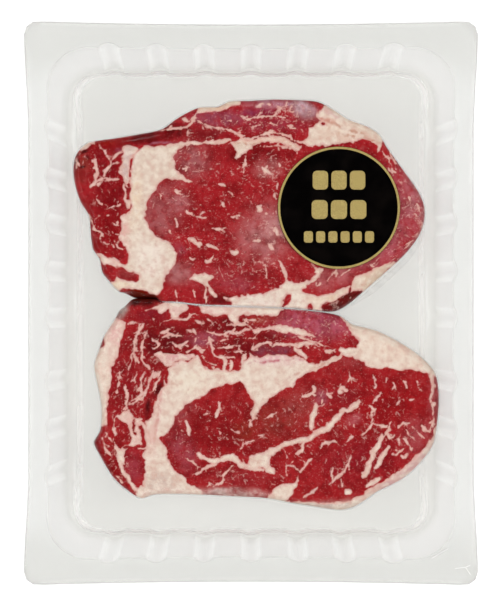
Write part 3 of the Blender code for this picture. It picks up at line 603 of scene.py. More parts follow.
LOWER_CREAM_PATCHES = (
    (-61, -14, 5, 8, 0, "#E2B4AC", 0.90), (-65, -20, 4, 4, 0, "#E4C0B4", 0.60),
    (-65, -30, 4, 3, 0, "#E6C6B6", 0.60), (-54, -58, 9, 10, 0, "#DFB4AA", 0.85),
    (-45, -55, 3, 16, -4, "#E0BAAE", 0.85), (-42.3, -50, 0.9, 16, -6, "#CE8A84", 0.70),
    (-40, -87.5, 16, 2.4, 0, "#DFBCB0", 0.70), (-42, -82, 9, 6, 0, "#D0B5A8", 0.80),
    (-35, -25, 9, 3, 0, "#D8A09E", 0.85), (-22, -3, 20, 3.6, 0, "#DFB0AA", 0.80),
    (13, -25.4, 14, 2.8, 0, "#DFB2B2", 0.90), (12, -26.4, 12, 0.7, 3, "#B8505E", 0.75),
    (30, -29, 16, 0.8, 22, "#C48A7C", 0.60), (40, -62, 40, 22, 0, "#E2BEB0", 0.50),
    (87, -48, 4, 16, 0, "#CE9E9A", 0.85), (72, -78, 26, 5, 38, "#D3A6A4", 0.90),
    (24, -92.6, 30, 2.4, 0, "#C9B4AA", 0.90), (-28, -36, 8, 5, 0, "#EADBC8", 0.70),
    (62, -20, 24, 7, -30, "#E8D0BE", 0.60),
    (-50, -30, 12, 24, 0, "#DDB0A8", 0.70), (-10, -15, 30, 6, 0, "#DDB4AC", 0.60),
)

# Where fine threads of fat are scattered: middle, half sizes, how many, and the way they run. They
# stray from it by some degrees, and bend by a share of their half length
UPPER_THREADS = (
    (-12, 38, 34, 26, 300, 150), (-28, 66, 8, 8, 50, 60), (8, 62, 14, 8, 60, 160),
    (8, 14, 26, 8, 90, 150), (71, 42, 8, 20, 130, 110), (58, 22, 12, 6, 50, 40),
    (-68, 46, 8, 24, 60, 100), (8, 83, 22, 6, 80, 5), (-20, 78, 14, 5, 30, 170),
    (77, 42, 3, 8, 40, 100), (42, 0, 10, 4, 40, 30), (-78, 65, 3, 6, 14, 100),
    (10, 33, 7, 7, 50, 140), (8, 61, 6, 4, 24, 150), (20, 87, 10, 5, 60, 165),
)
LOWER_THREADS = (
    (-14, -58, 22, 14, 140, 130), (42, -56, 34, 20, 300, 125), (50, -78, 20, 8, 70, 120),
    (0, -80, 22, 6, 70, 160), (-56, -40, 8, 24, 120, 80), (-42, -18, 14, 9, 60, 20),
    (-4, -15, 24, 8, 100, 5), (28, -14, 16, 8, 70, 170), (-61, -74, 7, 10, 60, 55),
    (-48, -36, 6, 9, 30, 60), (-38, -25, 8, 3, 40, 60),
)
THREAD_LENGTH = (0.4, 2.6)
THREAD_WIDTH = (0.25, 0.60)
THREAD_STRAY = 32.0
THREAD_BEND = 0.45

# The depth where there is no fat near, and the share of its width that a vein has at its ends
NO_FAT = -4.0
VEIN_END = 0.55
VEIN_SWELL = 0.6

# How outlines and veins wander from their drawn lines, as lumps: size and amount
WANDER = ((7.0, 0.5), (3.0, 0.45), (1.4, 0.35))
EDGE_LUMPS = ((2.6, 0.35), (1.1, 0.35))
VEIN_LUMPS = ((2.2, 0.30), (1.0, 0.28))
PATCH_LUMPS = ((3.0, 0.5), (1.2, 0.4))
SIDE_DRIFT = ((8.0, 3.0), (3.0, 1.0))

# Patches of colour: least and greatest share of their strength, and how sharply they end
PATCH_LIMITS = (0.2, 1.3)
PATCH_POWER = 1.6

# Lumps: cells in their table of random numbers, and how far each seed turns it, in radians
LUMP_TABLE = 128
LUMP_TURN = 1.1

# Twigs beside a vein: spacing, length, width, and the turn away from the vein in degrees
TWIG_SPACING = 2.5
TWIG_LENGTH = (0.9, 2.8)
TWIG_WIDTH = (0.35, 0.75)
TWIG_TURN = (20, 60)

# The notch at the left, where the sides of the two steaks sag together: its middle and reach, how
# sharply it ends, the colour and strength of the shade painted on its sides, how far and how
# roundly the sides sag, closing the gap with painted shade, and how deep inside it no fat shows
NOTCH_MIDDLE = (-47.8, 2.2)
NOTCH_REACH = (9.5, 9.0)
NOTCH_POWER = 6
NOTCH_SHADE_COLOR = "#5E180E"
NOTCH_SHADE_SHARE = 0.95
NOTCH_SAG = 1.03
NOTCH_ROUND = 0.3
NOTCH_BARE = 0.3

# Grain of the beef: size of its lumps, detail and roughness
BEEF_GRAIN = {
    "edge": (0.9, 2.0, 0.6), "broad": (8.0, 2.0, 0.5), "bundles": (2.4, 3.0, 0.6),
    "fibres": (0.8, 2.0, 0.7), "lobes": (3.2, 2.0, 0.55), "strands": (1.3, 3.0, 0.6),
}

# Stains that follow the grain: grain, where a stain sets in, where it is full, strength, colour
LEAN_DARKER = (
    ("broad", 0.56, 0.36, 0.50, "#760609"), ("bundles", 0.48, 0.30, 0.45, "#640407"),
)
LEAN_PALER = (
    ("bundles", 0.52, 0.74, 0.34, "#B25A5A"), ("fibres", 0.56, 0.76, 0.50, "#CC9088"),
)
FAT_STAINS = (
    ("lobes", 0.46, 0.64, 0.55, "#EEE1D2"), ("lobes", 0.47, 0.32, 0.48, "#D4A898"),
    ("strands", 0.46, 0.32, 0.32, "#CA9A86"),
)

# Mesh detail: cells over a steak and its film, rows down their sides, steps of a smooth path
STEAK_CELLS = (354, 216)
STEAK_ROWS = 8
BASE_STEP = 3
FILM_CELLS = (150, 92)
FILM_ROWS = 10
SMOOTH_STEPS = 4

# Stage, in metres and watts: the floor, the lights with their place, size, power and whether gloss
# shows them, and the camera
STAGE_HALF = 20.0
STAGE_DROP = 0.0002
FLOOR_GLOW = 0.78
WORLD_GLOW = 0.06
LIGHTS = (
    ("soft_top", (0.0, 0.0, 1.6), 1.1, 15.0, False),
    ("soft_left", (-1.1, 0.0, 0.9), 0.8, 5.0, True),
    ("soft_right", (1.1, 0.0, 0.9), 0.8, 5.0, True),
    ("soft_far", (0.0, 1.2, 0.9), 0.8, 5.0, True),
    ("soft_near", (0.0, -1.2, 0.9), 0.8, 5.0, True),
)
CAMERA_PLACE = (-0.0011, 0.0014, 0.673)
CAMERA_ANGLE = 23.9

Ring = namedtuple("Ring", "half corner z bow ribs")
Station = namedtuple("Station", "side along rib angle")


def linear(hex_color):
    """Turn an sRGB hex value to linear numbers."""
    channels = [int(hex_color[i:i + 2], 16) / 255 for i in (1, 3, 5)]
    return tuple(c / 12.92 if c <= 0.04045 else ((c + 0.055) / 1.055) ** 2.4 for c in channels)


def add_node(tree, kind, inputs=(), output=0, **settings):
    """Add a shader node with its settings, fill its inputs by place or name and give an output."""
    node = tree.nodes.new("ShaderNode" + kind)
    for name, value in settings.items():
        setattr(node, name, value)
    for key, value in inputs.items() if isinstance(inputs, dict) else enumerate(inputs):
        if isinstance(value, bpy.types.NodeSocket):
            tree.links.new(value, node.inputs[key])
        elif isinstance(value, str):
            node.inputs[key].default_value = (*linear(value), 1.0)
        else:
            node.inputs[key].default_value = value
    return node.outputs[output] if len(node.outputs) else None


def new_material(name):
    """Start a material with an empty tree and give both."""
    material = bpy.data.materials.new(name)
    material.use_nodes = True
    material.node_tree.nodes.clear()
    return material, material.node_tree


def stained(tree, color, grain, stains, most):
    """Lay stains over a colour, one after the other, each no stronger than most allows."""
    for name, start, full, strength, shade in stains:
        share = add_node(tree, "MapRange", (grain[name], start, full, 0.0, strength), **SOFT)
        share = add_node(tree, "Math", (share, most), operation="MULTIPLY")
        color = add_node(tree, "MixRGB", (share, color, shade))
    return color


def beef_material():
    """Raw beef, cut across the fibre: moist red muscle, with opaque creamy fat in and around it."""
    material, tree = new_material("raw_beef_cut_and_moist")
    depth, thread = (add_node(tree, "Attribute", output="Fac", attribute_name=name)
                     for name in ("fat_depth", "thread_depth"))
    lean, cream = (add_node(tree, "Attribute", output="Color", attribute_name=name)
                   for name in ("lean_color", "fat_color"))
    place = add_node(tree, "TexCoord", output="Object")
    grain = {}
    for name, (size, detail, roughness) in BEEF_GRAIN.items():
        grain[name] = add_node(tree, "TexNoise", {"Vector": place, "Scale": 1.0 / (size * MM),
                                                  "Detail": detail, "Roughness": roughness})

    tone = add_node(tree, "RGBToBW", (lean,))
    pale = add_node(tree, "MapRange", (tone, 0.03, 0.11, 0.25, 1.0), **SOFT)
    spread = add_node(tree, "Math", (grain["edge"], 0.9, thread), operation="MULTIPLY_ADD")
    threads = add_node(tree, "MapRange", (spread, 0.30, 0.85, 0.0, 0.66), **SOFT)
    red = stained(tree, lean, grain, LEAN_DARKER, 1.0)
    red = stained(tree, red, grain, LEAN_PALER, pale)
    red = add_node(tree, "MixRGB", (threads, red, "#DDB0A4"))

    thin = add_node(tree, "MapRange", (depth, -0.1, 1.3), **SOFT)
    fat_color = stained(tree, cream, grain, FAT_STAINS, 1.0)
    fat_color = add_node(tree, "MixRGB", (thin, "#D6A196", fat_color))

    edge = add_node(tree, "Math", (grain["edge"], 0.7, depth), operation="MULTIPLY_ADD")
    fat = add_node(tree, "MapRange", (edge, 0.12, 0.62), **SOFT)
    color = add_node(tree, "MixRGB", (fat, red, fat_color))
    height = add_node(tree, "Math", (grain["fibres"], 0.4, grain["lobes"]), operation="MULTIPLY_ADD")
    bump = add_node(tree, "Bump", {"Strength": 0.35, "Distance": 0.25 * MM, "Height": height})
    roughness = add_node(tree, "MapRange", (fat, 0.0, 1.0, 0.42, 0.55), **SOFT)
    shader = add_node(tree, "BsdfPrincipled", {
        "Base Color": color, "Normal": bump, "Roughness": roughness, "IOR": 1.38,
        "Specular IOR Level": 0.05})
    add_node(tree, "OutputMaterial", (shader,))
    return material


def clear_material(name, head_on, grazing, roughness, thin_tint, thick_tint):
    """A clear sheet: light passes it with a slight tint, its face mirrors a little head-on and
    more at a slant. The mesh carries how milky it is, how thick, and where it stays dull."""
    material, tree = new_material(name)
    thick, dull, haze = (add_node(tree, "Attribute", output="Fac", attribute_name=name)
                         for name in ("sheet_thickness", "dull", "haze"))
    tint = add_node(tree, "MixRGB", (thick, thin_tint, thick_tint))
    through = add_node(tree, "BsdfTransparent", {"Color": tint})
    gloss = add_node(tree, "BsdfGlossy", {"Color": "#F3F3F3", "Roughness": roughness})
    slant = add_node(tree, "LayerWeight", {"Blend": 0.5}, output="Facing")
    steep = add_node(tree, "Math", (slant, 5.0), operation="POWER")
    mirror = add_node(tree, "Math", (steep, grazing, head_on), operation="MULTIPLY_ADD")
    shine = add_node(tree, "Math", (1.0, dull), operation="SUBTRACT")
    mirror = add_node(tree, "Math", (mirror, shine), operation="MULTIPLY")
    clear = add_node(tree, "MixShader", (mirror, through, gloss))
    milky = add_node(tree, "BsdfDiffuse", {"Color": "#F8F8F7"})
    surface = add_node(tree, "MixShader", (haze, clear, milky))
    add_node(tree, "OutputMaterial", (surface,))
    return material


def tray_material():
    """Clear PET sheet, thermoformed: thin, glossy and a touch grey where it stays thick."""
    return clear_material("clear_pet_thermoformed", 0.02, 0.10, 0.10, "#F9F9F8", "#E6E6E2")


def film_material():
    """Clear barrier skin film, heated and drawn over the food: hardly seen but for its gloss."""
    return clear_material("clear_skin_film_drawn", 0.008, 0.04, 0.08, "#FDFDFD", "#FDFDFD")


def label_material():
    """Coated label paper printed black: near black, satin, with a faint warm mottle."""
    material, tree = new_material("coated_paper_black_ink")
    place = add_node(tree, "TexCoord", output="Object")
    mottle = add_node(tree, "TexNoise", {"Vector": place, "Scale": 1.0 / (9.0 * MM), "Detail": 3.0})
    share = add_node(tree, "MapRange", (mottle, 0.40, 0.70), **SOFT)
    color = add_node(tree, "MixRGB", (share, "#030202", "#0A0706"))
    fibre = add_node(tree, "TexNoise", {"Vector": place, "Scale": 1.0 / (0.5 * MM), "Detail": 2.0})
    bump = add_node(tree, "Bump", {"Strength": 0.08, "Distance": 0.05 * MM, "Height": fibre})
    shader = add_node(tree, "BsdfPrincipled", {
        "Base Color": color, "Normal": bump, "Roughness": 0.62, "Specular IOR Level": 0.01})
    add_node(tree, "OutputMaterial", (shader,))
    return material


def gold_material():
    """Printed gold ink: flat mustard gold with the fine speckle of its metal flakes."""
    material, tree = new_material("gold_ink_printed")
    place = add_node(tree, "TexCoord", output="Object")
    flakes = add_node(tree, "TexNoise", {"Vector": place, "Scale": 1.0 / (0.35 * MM), "Detail": 2.0,
                                         "Roughness": 0.7})
    share = add_node(tree, "MapRange", (flakes, 0.35, 0.65), **SOFT)
    color = add_node(tree, "MixRGB", (share, "#A08A4E", "#C0AB66"))
    shader = add_node(tree, "BsdfPrincipled", {
        "Base Color": color, "Metallic": 0.15, "Roughness": 0.45, "Specular IOR Level": 0.3})
    add_node(tree, "OutputMaterial", (shader,))
    return material


def finish_piece(obj, material, slot, *nodes):
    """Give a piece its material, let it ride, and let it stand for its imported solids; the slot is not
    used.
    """
    obj.data.materials.append(material)
    bpy.context.scene.collection.objects.link(obj)
    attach(obj, "root")
    if nodes:
        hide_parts(*nodes)
    return obj


def object_from(name, bm):
    """Turn a bmesh into an object."""
    mesh = bpy.data.meshes.new(name)
    bm.to_mesh(mesh)
    bm.free()
    return bpy.data.objects.new(name, mesh)


def read_points(mesh):
    """Read a mesh's vertices as rows of numbers."""
    points = np.empty(len(mesh.vertices) * 3)
    mesh.vertices.foreach_get("co", points)
    return points.reshape(-1, 3)


def write_points(mesh, points):
    """Write vertices, given in millimetres."""
    mesh.vertices.foreach_set("co", (points * MM).ravel())
    mesh.update()


def write_number(mesh, name, values):
    """Store one number for each vertex."""
    attribute = mesh.attributes.new(name, "FLOAT", "POINT")
    attribute.data.foreach_set("value", values.astype(np.float32))


def read_number(mesh, name):
    """Read one stored number for each vertex."""
    values = np.empty(len(mesh.vertices))
    mesh.attributes[name].data.foreach_get("value", values)
    return values


def write_color(mesh, name, colors):
    """Store one linear colour for each vertex."""
    attribute = mesh.attributes.new(name, "FLOAT_COLOR", "POINT")
    full = np.column_stack((colors, np.ones(len(colors)))).astype(np.float32)
    attribute.data.foreach_set("color", full.ravel())


def smooth_path(points, closed):
    """Sample a smooth curve that passes through all the points."""
    points = np.array(points, float)
    if closed:
        padded = np.vstack((points[-1:], points, points[:2]))
    else:
        padded = np.vstack((points[:1], points, points[-1:]))
    samples = []
    for before, start, end, after in zip(padded, padded[1:], padded[2:], padded[3:]):
        for step in range(SMOOTH_STEPS):
            t = step / SMOOTH_STEPS
            bend = 2 * before - 5 * start + 4 * end - after
            twist = 3 * start - before - 3 * end + after
            samples.append(start + 0.5 * ((end - before) * t + bend * t ** 2 + twist * t ** 3))
    samples.append(padded[-2])
    return np.array(samples)


def depth_in_path(points, path, half):
    """How deep each point lies inside a stroke along the path, below zero outside it."""
    depth = np.full(len(points), -1e3)
    for i in range(len(path) - 1):
        run = path[i + 1] - path[i]
        away = points - path[i]
        t = np.clip(away @ run / max(run @ run, 1e-9), 0.0, 1.0)
        gap = np.linalg.norm(away - t[:, None] * run, axis=1)
        depth = np.maximum(depth, half[i] + (half[i + 1] - half[i]) * t - gap)
    return depth


def inside_path(points, path):
    """Tell which points lie inside a closed path."""
    x, y = points.T
    hit = np.zeros(len(points), bool)
    for (x0, y0), (x1, y1) in zip(path, path[1:]):
        if y0 != y1:
            hit ^= ((y0 > y) != (y1 > y)) & (x < (x1 - x0) * (y - y0) / (y1 - y0) + x0)
    return hit


def nearby(points, path, reach):
    """Pick the points within reach of a path's box."""
    low = path.min(axis=0) - reach
    high = path.max(axis=0) + reach
    return np.nonzero(np.all((points > low) & (points < high), axis=1))[0]


def stamp_region(depth, points, outline, carve=False):
    """Add a region of fat to the field of depths, or carve lean out of it."""
    path = smooth_path(outline, closed=True)
    near = nearby(points, path, -NO_FAT)
    local = points[near]
    gap = -depth_in_path(local, path, np.zeros(len(path)))
    inside = inside_path(local, path)
    level = np.where(inside, gap, -gap)
    if carve:
        depth[near] = np.minimum(depth[near], -level)
    else:
        depth[near] = np.maximum(depth[near], level)


def stamp_vein(depth, points, width, spots):
    """Add a vein that swells from fine ends to its full width."""
    path = smooth_path(spots, closed=False)
    along = np.linspace(0.0, 1.0, len(path))
    half = width / 2 * (VEIN_END + (1 - VEIN_END) * np.sin(np.pi * along) ** VEIN_SWELL)
    near = nearby(points, path, -NO_FAT)
    depth[near] = np.maximum(depth[near], depth_in_path(points[near], path, half))


def stamp_threads(depth, points, zones, seed):
    """Scatter short fine threads of fat over the lean, each zone with its own run."""
    draw = random.Random(seed)
    for x, y, half_x, half_y, count, run in zones:
        for _ in range(count):
            reach = math.sqrt(draw.random())
            turn = draw.uniform(0.0, math.tau)
            start = Vector((x + half_x * reach * math.cos(turn), y + half_y * reach * math.sin(turn)))
            heading = math.radians(run + draw.gauss(0.0, THREAD_STRAY))
            step = Vector((math.cos(heading), math.sin(heading))) * draw.uniform(*THREAD_LENGTH) / 2
            bend = Vector((-step.y, step.x)) * draw.uniform(-THREAD_BEND, THREAD_BEND)
            width = draw.uniform(*THREAD_WIDTH)
            stamp_vein(depth, points, width, (start - step, start + bend, start + step))


def lumps(points, octaves, seed):
    """Smooth random lumps laid over each other, each given by its size and its amount."""
    total = np.zeros(len(points))
    for step, (size, amount) in enumerate(octaves):
        table = np.random.default_rng(seed + step).uniform(-1.0, 1.0, (LUMP_TABLE, LUMP_TABLE))
        turned = points @ np.array(Matrix.Rotation(LUMP_TURN * (seed + step), 2))
        place = turned / size
        cell = np.floor(place).astype(int)
        x, y = ((place - cell) ** 2 * (3 - 2 * (place - cell))).T
        left, low = (cell % LUMP_TABLE).T
        right, high = (left + 1) % LUMP_TABLE, (low + 1) % LUMP_TABLE
        below = table[left, low] * (1 - x) + table[right, low] * x
        above = table[left, high] * (1 - x) + table[right, high] * x
        total += amount * (below * (1 - y) + above * y)
    return total


def wandered(points, seed):
    """Shift points unevenly, so that what is drawn on them turns ragged."""
    return points + np.column_stack((lumps(points, WANDER, seed), lumps(points, WANDER, seed + 9)))


def stamp_twigs(depth, points, spots, draw):
    """Let fine twigs leave a vein on both sides."""
    path = smooth_path(spots, closed=False)
    length = np.linalg.norm(np.diff(path, axis=0), axis=1).sum()
    for _ in range(int(length / TWIG_SPACING)):
        i = draw.randrange(len(path) - 1)
        run = Vector(path[i + 1] - path[i])
        run.resize_2d()
        if run.length > 0:
            turn = math.radians(draw.choice((-1, 1)) * draw.uniform(*TWIG_TURN))
            step = Matrix.Rotation(turn, 2) @ run.normalized() * draw.uniform(*TWIG_LENGTH)
            start = Vector(path[i])
            stamp_vein(depth, points, draw.uniform(*TWIG_WIDTH), (start, start + step))


def fat_field(points, seed, fat, lean, veins):
    """Depth in millimetres inside the fat at each point seen from above."""
    loose = wandered(points, seed)
    draw = random.Random(seed)
    strokes = np.full(len(points), NO_FAT)
    for group in veins.values():
        for width, *spots in group:
            stamp_vein(strokes, loose, width, spots)
            stamp_twigs(strokes, loose, spots, draw)
    strokes += lumps(points, VEIN_LUMPS, seed + 20)
    broad = np.full(len(points), NO_FAT)
    for outline in fat.values():
        stamp_region(broad, loose, outline)
    for outline in lean.values():
        stamp_region(broad, loose, outline, carve=True)
        stamp_region(strokes, loose, outline, carve=True)
    broad += lumps(points, EDGE_LUMPS, seed + 30)
    return np.maximum(strokes, broad)


def patched_colors(points, base, patches):
    """Blend soft patches of colour over a base colour."""
    colors = np.tile(linear(base), (len(points), 1))
    loose = wandered(points, seed=70)
    blotches = np.clip(1.0 + lumps(points, PATCH_LUMPS, seed=81), *PATCH_LIMITS)
    for x, y, half_x, half_y, turn, shade, strength in patches:
        c, s = math.cos(math.radians(turn)), math.sin(math.radians(turn))
        away = loose - (x, y)
        across = (away[:, 0] * c + away[:, 1] * s) / half_x
        up = (away[:, 1] * c - away[:, 0] * s) / half_y
        soft = np.exp(-(across ** 2 + up ** 2) ** PATCH_POWER)
        share = np.minimum(strength * blotches * soft, 1.0)
        colors += share[:, None] * (np.array(linear(shade)) - colors)
    return colors


def swell(points, seed, low, high, amount, waves=9):
    """A gentle uneven surface: a sum of waves between two wavelengths, in millimetres."""
    draw = random.Random(seed)
    height = np.zeros(len(points))
    for _ in range(waves):
        turn = draw.uniform(0.0, math.tau)
        wave = math.tau / draw.uniform(low, high)
        phase = draw.uniform(0.0, math.tau)
        height += np.sin(points @ (math.cos(turn) * wave, math.sin(turn) * wave) + phase)
    return height * amount / math.sqrt(waves / 2)


def bell(turn, middle, half):
    """Fall from 1 at a direction to 0 beside it. The directions are in radians and degrees."""
    off = (turn - math.radians(middle) + math.pi) % math.tau - math.pi
    return np.exp(-abs(off / math.radians(half)) ** BELL_POWER)


class Slice:
    """A steak's outline from above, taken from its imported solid, and the surface inside it."""

    def __init__(self, node, seed, skin=(0.0, 1.0, 0.0)):
        heading, width, thick = skin
        low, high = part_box(node)
        self.middle = np.array(((low.x + high.x) / 2, (low.y + high.y) / 2)) / MM
        self.top = high.z / MM
        self.half = np.array((high.x - low.x, high.y - low.y)) / 2 / MM * EVEN_SHARE
        self.seed = seed
        solid = read_points(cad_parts[node].data) / MM
        ring = solid[abs(solid[:, 2] - WIDEST_LEVEL) < LEVEL_NEAR][:, :2]
        angle = np.arctan2(*(ring - self.middle).T[::-1])
        order = np.unique(np.round(angle, 4), return_index=True)[1]
        path = smooth_path(ring[order], closed=True)
        turn = np.arctan2(*(path - self.middle).T[::-1])
        away = path - self.middle
        grow = thick * bell(turn, heading, width) / np.linalg.norm(away, axis=1)
        self.path = self.middle + away * (1 + grow)[:, None]
        sort = np.argsort(turn)
        self.turn = turn[sort]
        self.reach = np.linalg.norm(self.path - self.middle, axis=1)[sort]

    def reach_at(self, angle):
        """Distance from the middle to the outline in each direction."""
        return np.interp(angle, self.turn, self.reach, period=math.tau)

    def softness_at(self, angle):
        """How far the edge rounds, less where the steaks press together."""
        y = self.middle[1] + self.reach_at(angle) * np.sin(angle)
        return np.minimum(1.0, TIGHT_EDGE + abs(y) / TIGHT_REACH)

    def spread(self, u, v, grow):
        """Move points of the unit square out to the outline, grown by a distance."""
        disc = np.column_stack((u * np.sqrt(1 - v * v / 2), v * np.sqrt(1 - u * u / 2)))
        away = disc * self.half
        share = np.linalg.norm(disc, axis=1)
        angle = np.arctan2(away[:, 1], away[:, 0])
        ellipse = np.linalg.norm(away, axis=1) / np.maximum(share, 1e-6)
        scale = 1 + ((self.reach_at(angle) + grow) / np.maximum(ellipse, 1e-6) - 1) * share ** 2
        return self.middle + away * scale[:, None], angle, share

    def crown_at(self, points):
        """Height of the crowned top."""
        away = (points - self.middle) / (CROWN_HALF_X, CROWN_HALF_Y)
        return self.top - CROWN * (away ** 2).sum(axis=1)

    def uneven(self, points):
        """The soft hills of a slice of meat."""
        return sum(swell(points, self.seed + step, *hills) for step, hills in enumerate(HILLS))

    def edge_drop(self, points, angle, share):
        """How far the top rounds down towards the outline."""
        drop = np.zeros(len(points))
        rim = np.nonzero(share > RIM_SHARE)[0]
        gap = -depth_in_path(points[rim], self.path, np.zeros(len(self.path)))
        soft = self.softness_at(angle[rim])
        part = np.clip(1 - gap / (EDGE_REACH * soft), 0.0, 1.0)
        drop[rim] = EDGE_DROP * soft * (1 - np.sqrt(1 - part ** 2))
        return drop


def slab(name, cells, rows, base_step):
    """A grid with its border drawn down in rows, closed by a coarser grid if a step is given.
    Its height is the number of each row, for the functions that shape it."""
    bm = bmesh.new()
    bmesh.ops.create_grid(bm, x_segments=cells[0], y_segments=cells[1], size=1.0)
    border = [edge for edge in bm.edges if edge.is_boundary]
    for _ in range(rows):
        drawn = bmesh.ops.extrude_edge_only(bm, edges=border)["geom"]
        fresh = [part for part in drawn if isinstance(part, bmesh.types.BMVert)]
        bmesh.ops.translate(bm, verts=fresh, vec=(0.0, 0.0, -1.0))
        border = [part for part in drawn if isinstance(part, bmesh.types.BMEdge) and part.is_boundary]
    if base_step:
        bmesh.ops.create_grid(bm, x_segments=cells[0] // base_step, y_segments=cells[1] // base_step,
                              size=1.0, matrix=Matrix.Translation((0.0, 0.0, -rows - 1.0)))
        loops = [edge for edge in bm.edges if edge.is_boundary]
        bmesh.ops.bridge_loops(bm, edges=loops)
    bmesh.ops.recalc_face_normals(bm, faces=bm.faces)
    return object_from(name, bm)


def steak_form(body, u, v, down, side, base):
    """Where each point of a slice lies from above and how high, before its hills and its fat."""
    soft = body.softness_at(body.spread(u, v, 0.0)[1])
    tuck = np.where(base, 1.0, np.clip(down * 2 - 1, 0.0, 1.0) ** 2) * BASE_INSET * soft
    flat, angle, share = body.spread(u, v, -tuck)
    z = body.crown_at(flat) - body.edge_drop(flat, angle, np.where(base, 0.0, share))
    rim = body.crown_at(flat) - EDGE_DROP * soft
    z = np.where(side, rim + (STEAK_BOTTOM - rim) * down, z)
    return flat, np.where(base, STEAK_BOTTOM, z)


def steak_relief(body, flat, z, depth, down, side, base):
    """Make the sides and the top uneven, lift the fat, and let the sides sag in the notch."""
    bulge = swell(np.column_stack((flat.sum(axis=1), z * 2)), body.seed + 5, *SIDE_HILLS)
    out = (flat - body.middle) / np.linalg.norm(flat - body.middle, axis=1)[:, None]
    flat = flat - out * np.where(side, np.abs(bulge) * np.sin(np.pi * down), 0.0)[:, None]
    proud = FAT_PROUD * np.clip(depth / FAT_RISE + 0.5, 0.0, 1.0)
    z = z + np.where(side | base, 0.0, body.uneven(flat) + proud)
    shown = sag_together(flat, np.where(side, NOTCH_SAG * np.sin(np.pi * down) ** NOTCH_ROUND, 0.0))
    return np.column_stack((shown, z))


def make_steak(name, node, body, fat_map, threads, lean, cream, material):
    """One slice of beef: crowned marbled top, rounded rim, side and underside."""
    piece = slab(name, STEAK_CELLS, STEAK_ROWS, BASE_STEP)
    mesh = piece.data
    u, v, level = read_points(mesh).T
    level = np.round(-level)
    side = (level > 0) & (level <= STEAK_ROWS)
    base = level > STEAK_ROWS
    down = np.where(side, level / (STEAK_ROWS + 1), 0.0)
    flat, z = steak_form(body, u, v, down, side, base)

    drift = lumps(np.column_stack((flat.sum(axis=1), z)), SIDE_DRIFT, body.seed + 50)
    drawn = flat + (np.where(base, 1.0, down) * drift)[:, None]
    # Painted shade deep in the notch: the sides' lean is drawn towards dark brown, and no fat shows
    # there
    notch_shade = np.where(side, in_notch(flat), 0.0)
    depth = np.where(notch_shade > NOTCH_BARE, NO_FAT, fat_field(drawn, body.seed, *fat_map))
    thread = np.full(len(flat), NO_FAT)
    stamp_threads(thread, wandered(drawn, body.seed + 40), threads, body.seed)
    lean_colors = patched_colors(drawn, *lean)
    # The painted shade in the notch
    lean_colors += NOTCH_SHADE_SHARE * notch_shade[:, None] * (np.array(linear(NOTCH_SHADE_COLOR)) - lean_colors)

    write_points(mesh, steak_relief(body, flat, z, depth, down, side, base))
    write_number(mesh, "fat_depth", depth)
    write_number(mesh, "thread_depth", thread)
    write_color(mesh, "lean_color", lean_colors)
    write_color(mesh, "fat_color", patched_colors(drawn, *cream))
    mesh.shade_smooth()
    return finish_piece(piece, material, "raw_beef", node)


def in_notch(points):
    """Fall from 1 in the middle of the notch to 0 outside it."""
    return np.exp(-(((points - NOTCH_MIDDLE) / NOTCH_REACH) ** NOTCH_POWER).sum(axis=1))


def sag_together(points, share):
    """Draw the sides of the steaks towards each other in the notch between them."""
    pull = (points[:, 1] - NOTCH_MIDDLE[1]) * share * in_notch(points)
    return points - np.column_stack((np.zeros(len(points)), pull))


def film_haze(body, flat, angle, share, down, loose, most):
    """How milky the film over a steak is: at its rim, and in streaks where it hangs slack."""
    rim = np.clip((share - RIM_HAZE_FROM) / (1 - RIM_HAZE_FROM), 0, 1) * RIM_HAZE
    around = np.column_stack((angle * STREAK_RADIUS, flat[:, 0] * STREAK_CHANGE))
    streaks = np.clip(0.5 + lumps(around, FILM_STREAKS, body.seed), 0, 1)
    fold = np.exp(-((down - FOLD_LEVEL) / FOLD_HALF) ** 2) * loose / most
    side = (SLACK_HAZE * loose + FOLD_HAZE * fold) * streaks
    return np.where(down > 0, side, rim * (1 - in_notch(flat)))


def make_film_cover(name, body, slack, material):
    """Film drawn down over one steak: close on its top, bridging its side, flaring at the foot."""
    piece = slab(name, FILM_CELLS, FILM_ROWS, None)
    mesh = piece.data
    u, v, level = read_points(mesh).T
    down = np.round(-level) / FILM_ROWS
    angle = body.spread(u, v, 0.0)[1]
    soft = body.softness_at(angle)
    heading, half, most = slack
    loose = most * bell(angle, heading, half) * np.clip(down * 1.3 - 0.2, 0, 1) ** 1.5
    grow = FILM_OFF + FILM_BULGE * soft * np.sin(np.pi * np.clip(down * 1.4, 0, 1))
    grow = grow + FILM_FLARE * soft * np.clip(down * 2 - 1, 0, 1) ** 3 + loose
    flat, angle, share = body.spread(u, v, grow)
    top = body.crown_at(flat) + body.uneven(flat) + FILM_OFF
    rim = top - EDGE_DROP * soft
    z = np.where(down > 0, rim + (FILM_FOOT - rim) * down, top - body.edge_drop(flat, angle, share))
    shown = sag_together(flat, np.where(down > 0, np.sin(np.pi * down) ** NOTCH_ROUND, 0.0))

    write_points(mesh, np.column_stack((shown, z)))
    write_number(mesh, "dull", np.where(down > 0, in_notch(flat), 0.0))
    write_number(mesh, "haze", film_haze(body, shown, angle, share, down, loose, most))
    mesh.shade_smooth()
    add_wall(piece, FILM_THICK)
    return finish_piece(piece, material, "clear_skin_film")


